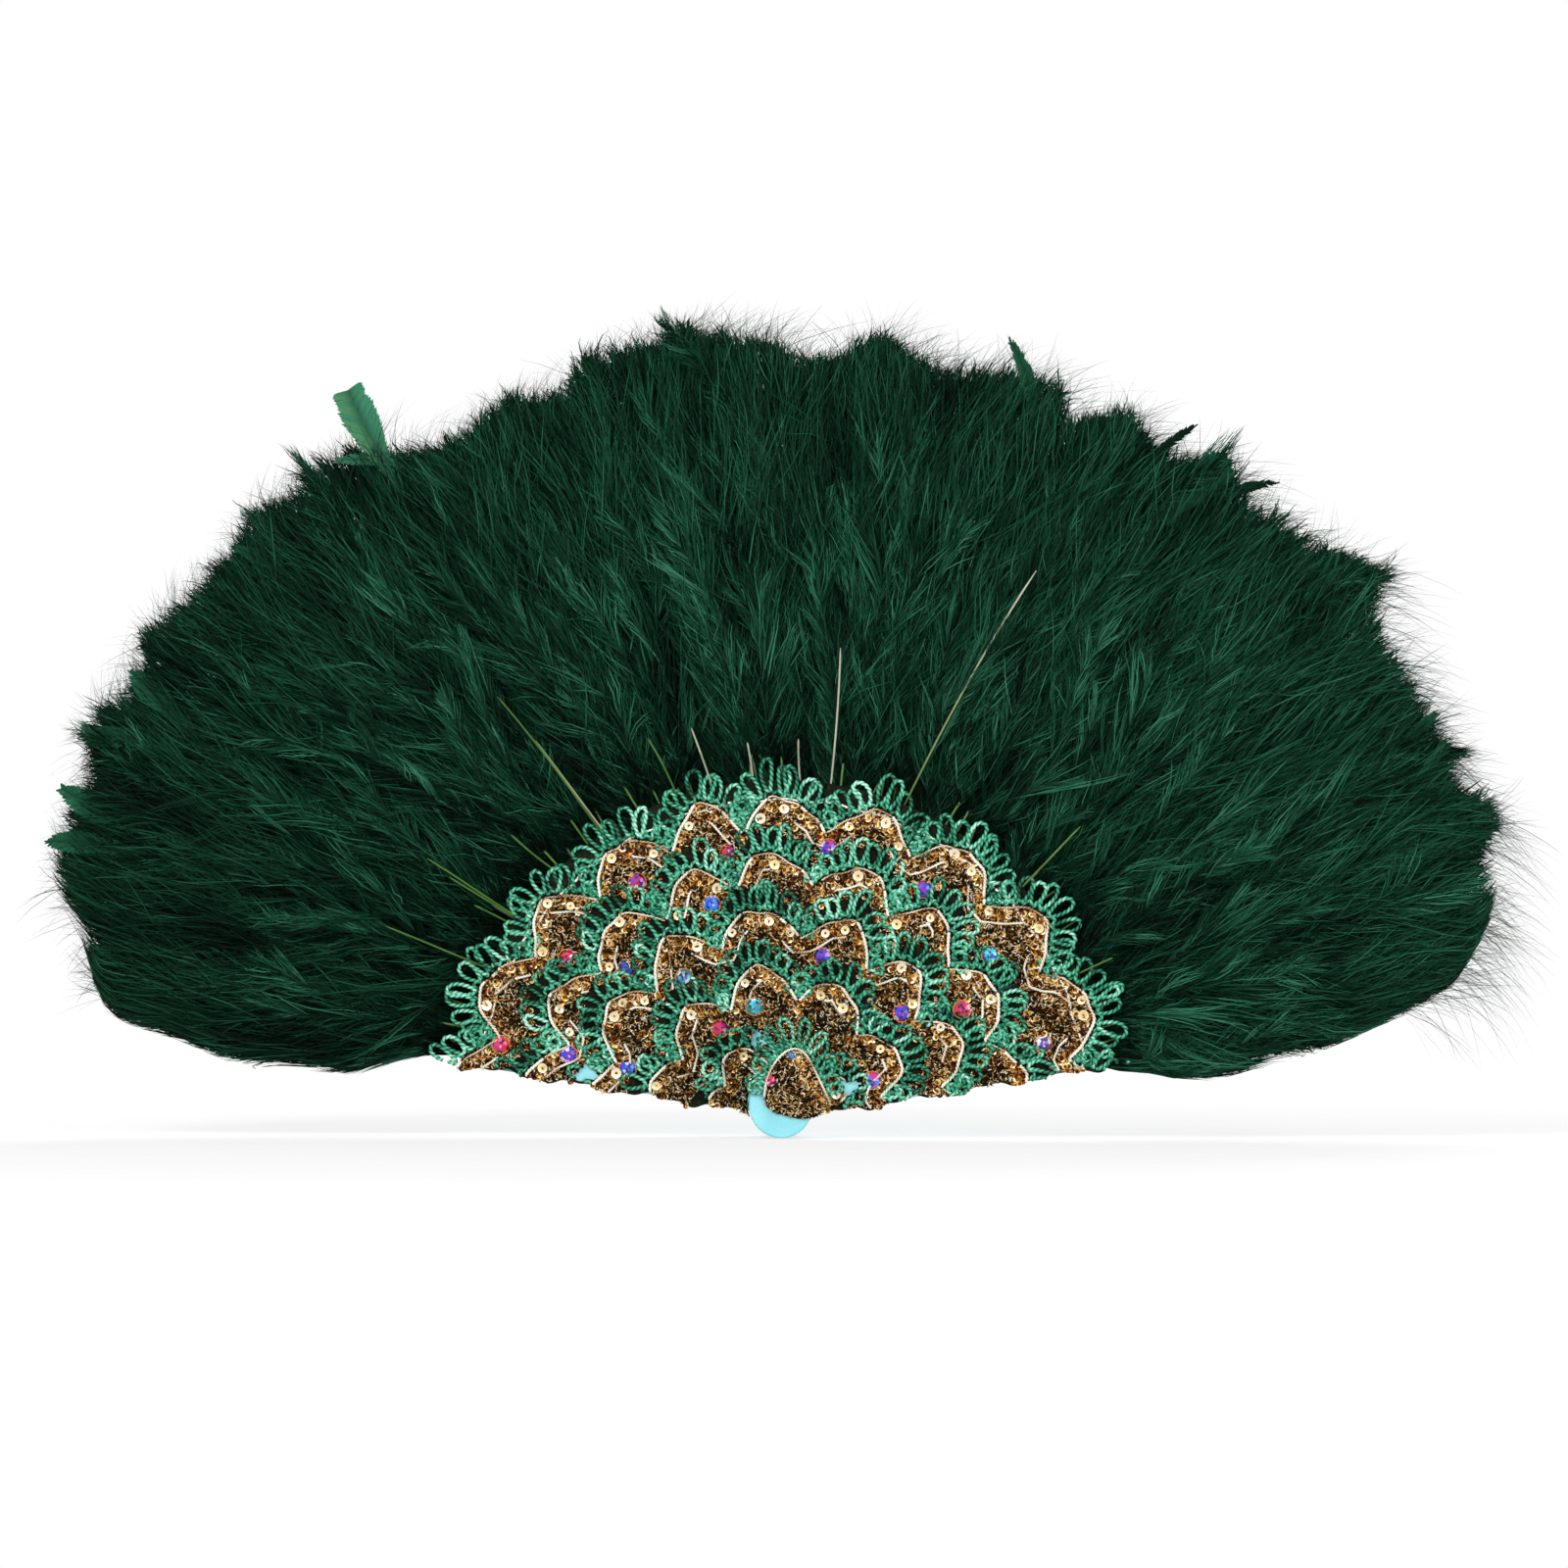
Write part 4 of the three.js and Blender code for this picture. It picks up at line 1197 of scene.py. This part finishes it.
# Net: the dark ground that all the trim is worked on, one thin sheet to a leaf. It is cut along the leaf's
# edges and the tops of the outer scallops, and left out where the trim is worn away.
net = Finish("dark trim net", Roughness=0.8, Specular_IOR_Level=0.1)
net_spots = net.noise(420.0, 4.0, 0.6)
net.set(
    Base_Color=net.ramp(
        net_spots, (0.3, "#060a06"), (0.5, "#0f160c"), (0.62, "#22200f"), (0.75, "#0f3020")
    ),
    Normal=net.bump(net_spots, 0.6, 0.3 * mm),
)
net_level = 0.2
net_rows = 84
net_columns = 26


def leaf_bounds(index, radius):
    """The angles between which a leaf shows at a radius, right then left."""
    edge = half_angle(half_width(radius), radius)
    outer = half_angle(half_width(radius) + overhang(radius), radius)
    left = leaf_angles[index] + (edge if index else outer)
    right = leaf_angles[index + 1] + edge if index < last_leaf else leaf_angles[last_leaf] - outer
    return right, left


def net_sheet(index):
    """A leaf's net, from the cap out to the top of the outer scallops."""
    share_out = np.linspace(0, 1, net_rows)[:, None]
    share_left = np.linspace(0, 1, net_columns)[None]
    radius = cap_radius + share_out * (blade_end - cap_radius) + 0 * share_left
    for _ in range(3):
        right, left = leaf_bounds(index, radius)
        angle = right + (left - right) * share_left
        net_end = np.maximum(row_edge(trim_rows[0], angle), blade_end + 0.2)
        radius = cap_radius + share_out * (net_end - cap_radius)
    flat = flat_place(radius, angle).reshape(-1, 2)
    k = np.arange(net_rows - 1)[:, None] * net_columns + np.arange(net_columns - 1)[None]
    quads = np.stack([k, k + 1, k + net_columns + 1, k + net_columns], axis=-1).reshape(-1, 4)
    quads = quads[~in_bare_spot(flat[quads].mean(axis=1))]
    points = on_face(flat, leaf_planes[index] - net_level)
    corners = flat / (260, 130) + (0.5, 0)
    name = f"trim_net_{index + 1}"
    piece = piece_from(name, points, quads, (), corners, net, leaf_bodies[index], "gold_lace")
    piece.modifiers.new("thickness", "SOLIDIFY").thickness = 0.12 * mm


# Link thread: one white thread runs through all the leaves near their ends and stops them when they are
# open. It is laid of two strands, and each leaf carries its own stretch of it.
thread_radius = 116.6
for index, body in enumerate(leaf_bodies):
    net_sheet(index)
    right, left = leaf_bounds(index, np.array(thread_radius))
    angle = np.linspace(right + 0.15, left - 0.1, 60)
    wander = 0.5 * np.sin(np.radians(angle) * 37)
    line = on_face(flat_place(thread_radius + wander, angle), leaf_planes[index] - 0.55)
    thread_pile = Pile()
    two_ply(thread_pile, line, 0.5, 2.6, 0.93)
    thread = thread_pile.piece(f"link_thread_{index + 1}", cream_cord, body, "ribbon")
    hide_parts(f"ribbon_{index + 1}")
    green = green_piles[index].piece(f"picot_lace_{index + 1}", green_cord, body, "green_lace")
    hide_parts(f"outer_lace_{index + 1}", f"inner_lace_{index + 1}")
    cream_piles[index].piece(f"edging_cord_{index + 1}", cream_cord, body, "green_lace")
    gold_piles[index].piece(f"gold_work_{index + 1}", gold_work, body, "gold_lace")
    if stone_piles[index].number:
        stone_piles[index].piece(f"stones_{index + 1}", glass, body, "gold_lace")

# Quills: bare shafts that stand clear of the down, pale where they are cut and olive further out. Five are
# glued behind each blade; a few come forward over the down, as the picture shows.
quill_finish = Finish("bare quill", Roughness=0.35)
quill_grain = quill_finish.noise(300.0, 2.0)
quill_colour = quill_finish.ramp(
    quill_finish.baked_map()[0],
    (0.0, "#1f3a12"), (0.35, "#40701c"), (0.65, "#86935a"), (1.0, "#c9c6b8"),
)
quill_finish.set(
    Base_Color=quill_finish.mix(quill_grain * 0.3, quill_colour, linear("#3a4a20")),
    Normal=quill_finish.bump(quill_grain, 0.3, 0.1 * mm),
)
# Quills in front of the down: root and tip as radius and angle, then the tone at the root and at the tip.
# No root lies further out than the end of the blade that it is glued to.
front_quills = [
    (121, 123.0, 168, 124.0, 0.95, 0.4), (121, 123.5, 190, 124.8, 0.3, 0.2),
    (121, 108.6, 149, 110.0, 0.4, 0.3), (121, 102.1, 148, 103.4, 1.0, 0.8),
    (121, 94.9, 139, 95.3, 1.0, 0.9), (121, 86.4, 140, 87.3, 1.0, 0.8),
    (121, 81.1, 176, 82.6, 1.0, 0.85), (121, 67.7, 226, 64.5, 0.45, 1.0),
    (121, 42.1, 156, 43.1, 0.5, 0.35), (121, 23.9, 138, 24.2, 0.4, 0.4),
    (119, 133.7, 146, 135.0, 0.45, 0.3), (121, 144.8, 165, 145.2, 0.4, 0.3),
    (121, 155.3, 166, 155.8, 0.4, 0.25), (121, 144.9, 154, 145.6, 0.35, 0.25),
    (118, 146.2, 140, 147.0, 0.4, 0.3),
]
quill_start = 1.25
quill_forward = 10.5
quills_behind = 5
quill_root = 107

# Glue: a clear bead run in waves across the quills where they lie behind the blade, and pressed flat. The
# picture shows only the fan's front, so the bead is guessed.
bead_place = 111
bead_steps = 70
bead_radius = 1.3
bead_flatness = 0.3
glue = Finish("clear glue", Roughness=0.15)
glue_lumps = glue.noise(240.0, 2.0)
glue.set(
    Base_Color=glue.ramp(glue_lumps, (0.3, "#a8a894"), (0.7, "#cfcdb8")),
    Normal=glue.bump(glue_lumps, 0.5, 0.4 * mm),
)
quill_rng = np.random.default_rng(31)


def quill(pile, root, tip, forward, root_tone, tip_tone, thickness):
    """One shaft: it leaves the blade's back, comes forward and runs out with a slight bow."""
    s = np.linspace(0, 1, 15)
    bow = quill_rng.normal(0, 0.7)
    angle = root[1] + (tip[1] - root[1]) * s + bow * s * (1 - s)
    radius = root[0] + (tip[0] - root[0]) * s
    out = np.clip((radius - 122) / 16, 0, 1) ** 1.3
    depth = leaf_planes[root[2]] + quill_start - (quill_start + forward) * out
    line = radial(radius, angle, depth)
    tube(pile, line, thickness, 6, root_tone + (tip_tone - root_tone) * s, taper=0.45)


for index, body in enumerate(leaf_bodies):
    shafts = Pile()
    beads = Pile()
    for share in np.linspace(-0.8, 0.8, quills_behind):
        angle = leaf_angles[index] + share * 8.6
        reach = 127 + 35 * quill_rng.random() ** 2
        tip_angle = angle + quill_rng.normal(0, 1.2)
        back = 3.0 + quill_rng.uniform(0, 3)
        quill(shafts, (quill_root, angle, index), (reach, tip_angle), -back, 0.5, 0.12, 0.5)
    for inner, root_angle, outer, tip_angle, root_tone, tip_tone in front_quills:
        if leaf_shown(np.array(122.0), np.array(root_angle)) == index:
            root, tip = (inner, root_angle, index), (outer, tip_angle)
            quill(shafts, root, tip, quill_forward, root_tone, tip_tone, 0.38)
    angle = leaf_angles[index] + np.linspace(-8.4, 8.4, bead_steps)
    wave = bead_place + 0.8 * np.sin(np.radians(angle) * 90) + quill_rng.normal(0, 0.1, bead_steps)
    bead_level = leaf_planes[index] + 1.35
    tube(beads, on_face(flat_place(wave, angle), bead_level), bead_radius, 8, 0.5)
    beads.points[0][:, 1] = bead_level + (beads.points[0][:, 1] - bead_level) * bead_flatness
    shaft_piece = shafts.piece(f"quill_shafts_{index + 1}", quill_finish, body, "quill")
    bead_piece = beads.piece(f"glue_bead_{index + 1}", glue, body, "quill")
    for piece in (shaft_piece, bead_piece):
        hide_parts(f"quills_{index + 1}")
    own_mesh(shaft_piece)

# The pivot's lace: one scallop of the same trim, glued on the cap up and to the right of the rivet, so that
# the cap shows at its lower left. Its cord, band and loops follow the scallop's top, and its two stones are
# smaller. It stays with the rivet when the leaves turn.
pivot_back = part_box("pivot_lace")[1][1] / mm
pivot_level = pivot_back - 0.25
pivot_scallop = np.array(
    [(-6.4, 3.5), (-5.6, 11.0), (-1.0, 19.0), (4.6, 22.6), (9.6, 20.4), (14.2, 11.0), (18.8, 1.2)]
)
pivot_foot = np.array([(14.5, -3.6), (8.0, -5.2), (1.8, -3.6), (-3.0, -2.2), (-6.0, 0.2)])


def rounded(points, closed):
    """A line with its corners cut three times."""
    for _ in range(3):
        after = np.roll(points, -1, axis=0) if closed else points[1:]
        before = points if closed else points[:-1]
        cut = np.stack([before * 0.75 + after * 0.25, before * 0.25 + after * 0.75], axis=1).reshape(-1, 2)
        points = cut if closed else np.concatenate([points[:1], cut, points[-1:]])
    return points


def inside(points, outline):
    """Whether places lie inside a closed outline, by how often a line to the right crosses it."""
    ahead = np.roll(outline, -1, axis=0)
    x, y = points[:, :1], points[:, 1:]
    level = (outline[None, :, 1] > y) != (ahead[None, :, 1] > y)
    rise = np.where(ahead[:, 1] == outline[:, 1], 1e-9, ahead[:, 1] - outline[:, 1])
    cross = outline[:, 0] + (y - outline[:, 1]) * (ahead[:, 0] - outline[:, 0]) / rise
    return (level & (x < cross)).sum(axis=1) % 2 == 1


pivot_step = 0.3
outline = rounded(np.concatenate([pivot_scallop, pivot_foot]), True)
pivot_line = evenly(rounded(pivot_scallop, False), pivot_step)
middle = outline.mean(axis=0)
rings = np.linspace(0.15, 1, 7)
sheet = (middle + rings[:, None, None] * (outline - middle)).reshape(-1, 2)
sides = len(outline)
column = np.arange(sides)
fan_faces = np.stack([(column + 1) % sides, column, np.full(sides, len(sheet))], axis=1)
sheet = np.concatenate([sheet, [middle]])
points = on_face(sheet, pivot_level)
quads = bands(len(rings) - 1, sides)
pivot_net = piece_from(
    "pivot_net", points, quads, fan_faces, sheet / 60 + 0.5, net, "middle_leaf", "gold_lace"
)
pivot_net.modifiers.new("thickness", "SOLIDIFY").thickness = 0.2 * mm

pivot_gold, pivot_green, pivot_cream, pivot_stones = (Pile() for _ in range(4))
grid = np.stack(np.meshgrid(np.arange(-8, 21, 0.78), np.arange(-7, 24, 0.78)), axis=-1).reshape(-1, 2)
grid = grid + trim_rng.uniform(-0.4, 0.4, grid.shape)
grid = grid[inside(grid, outline)]
for point in grid:
    from_cord = np.hypot(*(pivot_line - point).T).min()
    near = from_cord < 5.5 and point[0] > 3
    if near and trim_rng.random() < 0.6:
        tone = np.clip(trim_rng.beta(1.0, 0.95), 0.03, 0.97)
        level = pivot_level - trim_rng.uniform(0.3, 0.7)
        foil(
            pivot_gold, point, level, trim_rng.uniform(0.8, 1.2), trim_rng.uniform(0, 0.6),
            trim_rng.uniform(0, 6.28), tone, 0.8, sides=7,
        )
    glitter_end(pivot_gold, point, pivot_level - trim_rng.uniform(0.25, 1.0))
lay_free(pivot_cream, pivot_line, pivot_level - 0.9, 0.5, 2.8, 0.5, 0.25)

ahead = unit(np.gradient(pivot_line, axis=0))
outward = np.stack([-ahead[:, 1], ahead[:, 0]], axis=1)
place = 2.0
run = pivot_step * np.arange(len(pivot_line))
wave = 1.5 + 0.9 * np.sin(run * 2 * np.pi / 3.2)
braid = (pivot_line + outward * wave[:, None])[8:-6]
lay_free(pivot_green, braid, pivot_level - 0.7, 0.72, cord_lay, 0.36, 0.12)
while place < run[-1] - 2:
    k = int(place / pivot_step)
    share = place / run[-1]
    length = 5.5 + 5.5 * math.sin(math.pi * min(1, share * 1.1)) ** 2
    loop = picot(
        pivot_line[k] + outward[k], unit(outward[k] + (0, 0.5)), length, trim_rng.uniform(3.6, 4.8),
        trim_rng.normal(0, 1.0),
    )
    tone = np.clip(0.4 + trim_rng.normal(0, 0.1), 0.16, 0.66)
    lay_free(pivot_green, loop, pivot_level - 0.8, 0.8, cord_lay, tone, 0.12)
    place += trim_rng.uniform(3.0, 3.8)
brilliant(pivot_stones, np.array([-4.2, 9.6]), pivot_level - 0.1, "red", "magenta", 2.3)
brilliant(pivot_stones, np.array([4.4, 19.4]), pivot_level - 0.1, "sky", "teal", 1.9)
pivot_gold_piece = pivot_gold.piece("pivot_gold_work", gold_work, "middle_leaf", "gold_lace")
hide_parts("pivot_lace")
pivot_green.piece("pivot_picots", green_cord, "middle_leaf", "green_lace")
pivot_cream.piece("pivot_edging_cord", cream_cord, "middle_leaf", "green_lace")
pivot_stones.piece("pivot_stones", glass, "middle_leaf", "gold_lace")
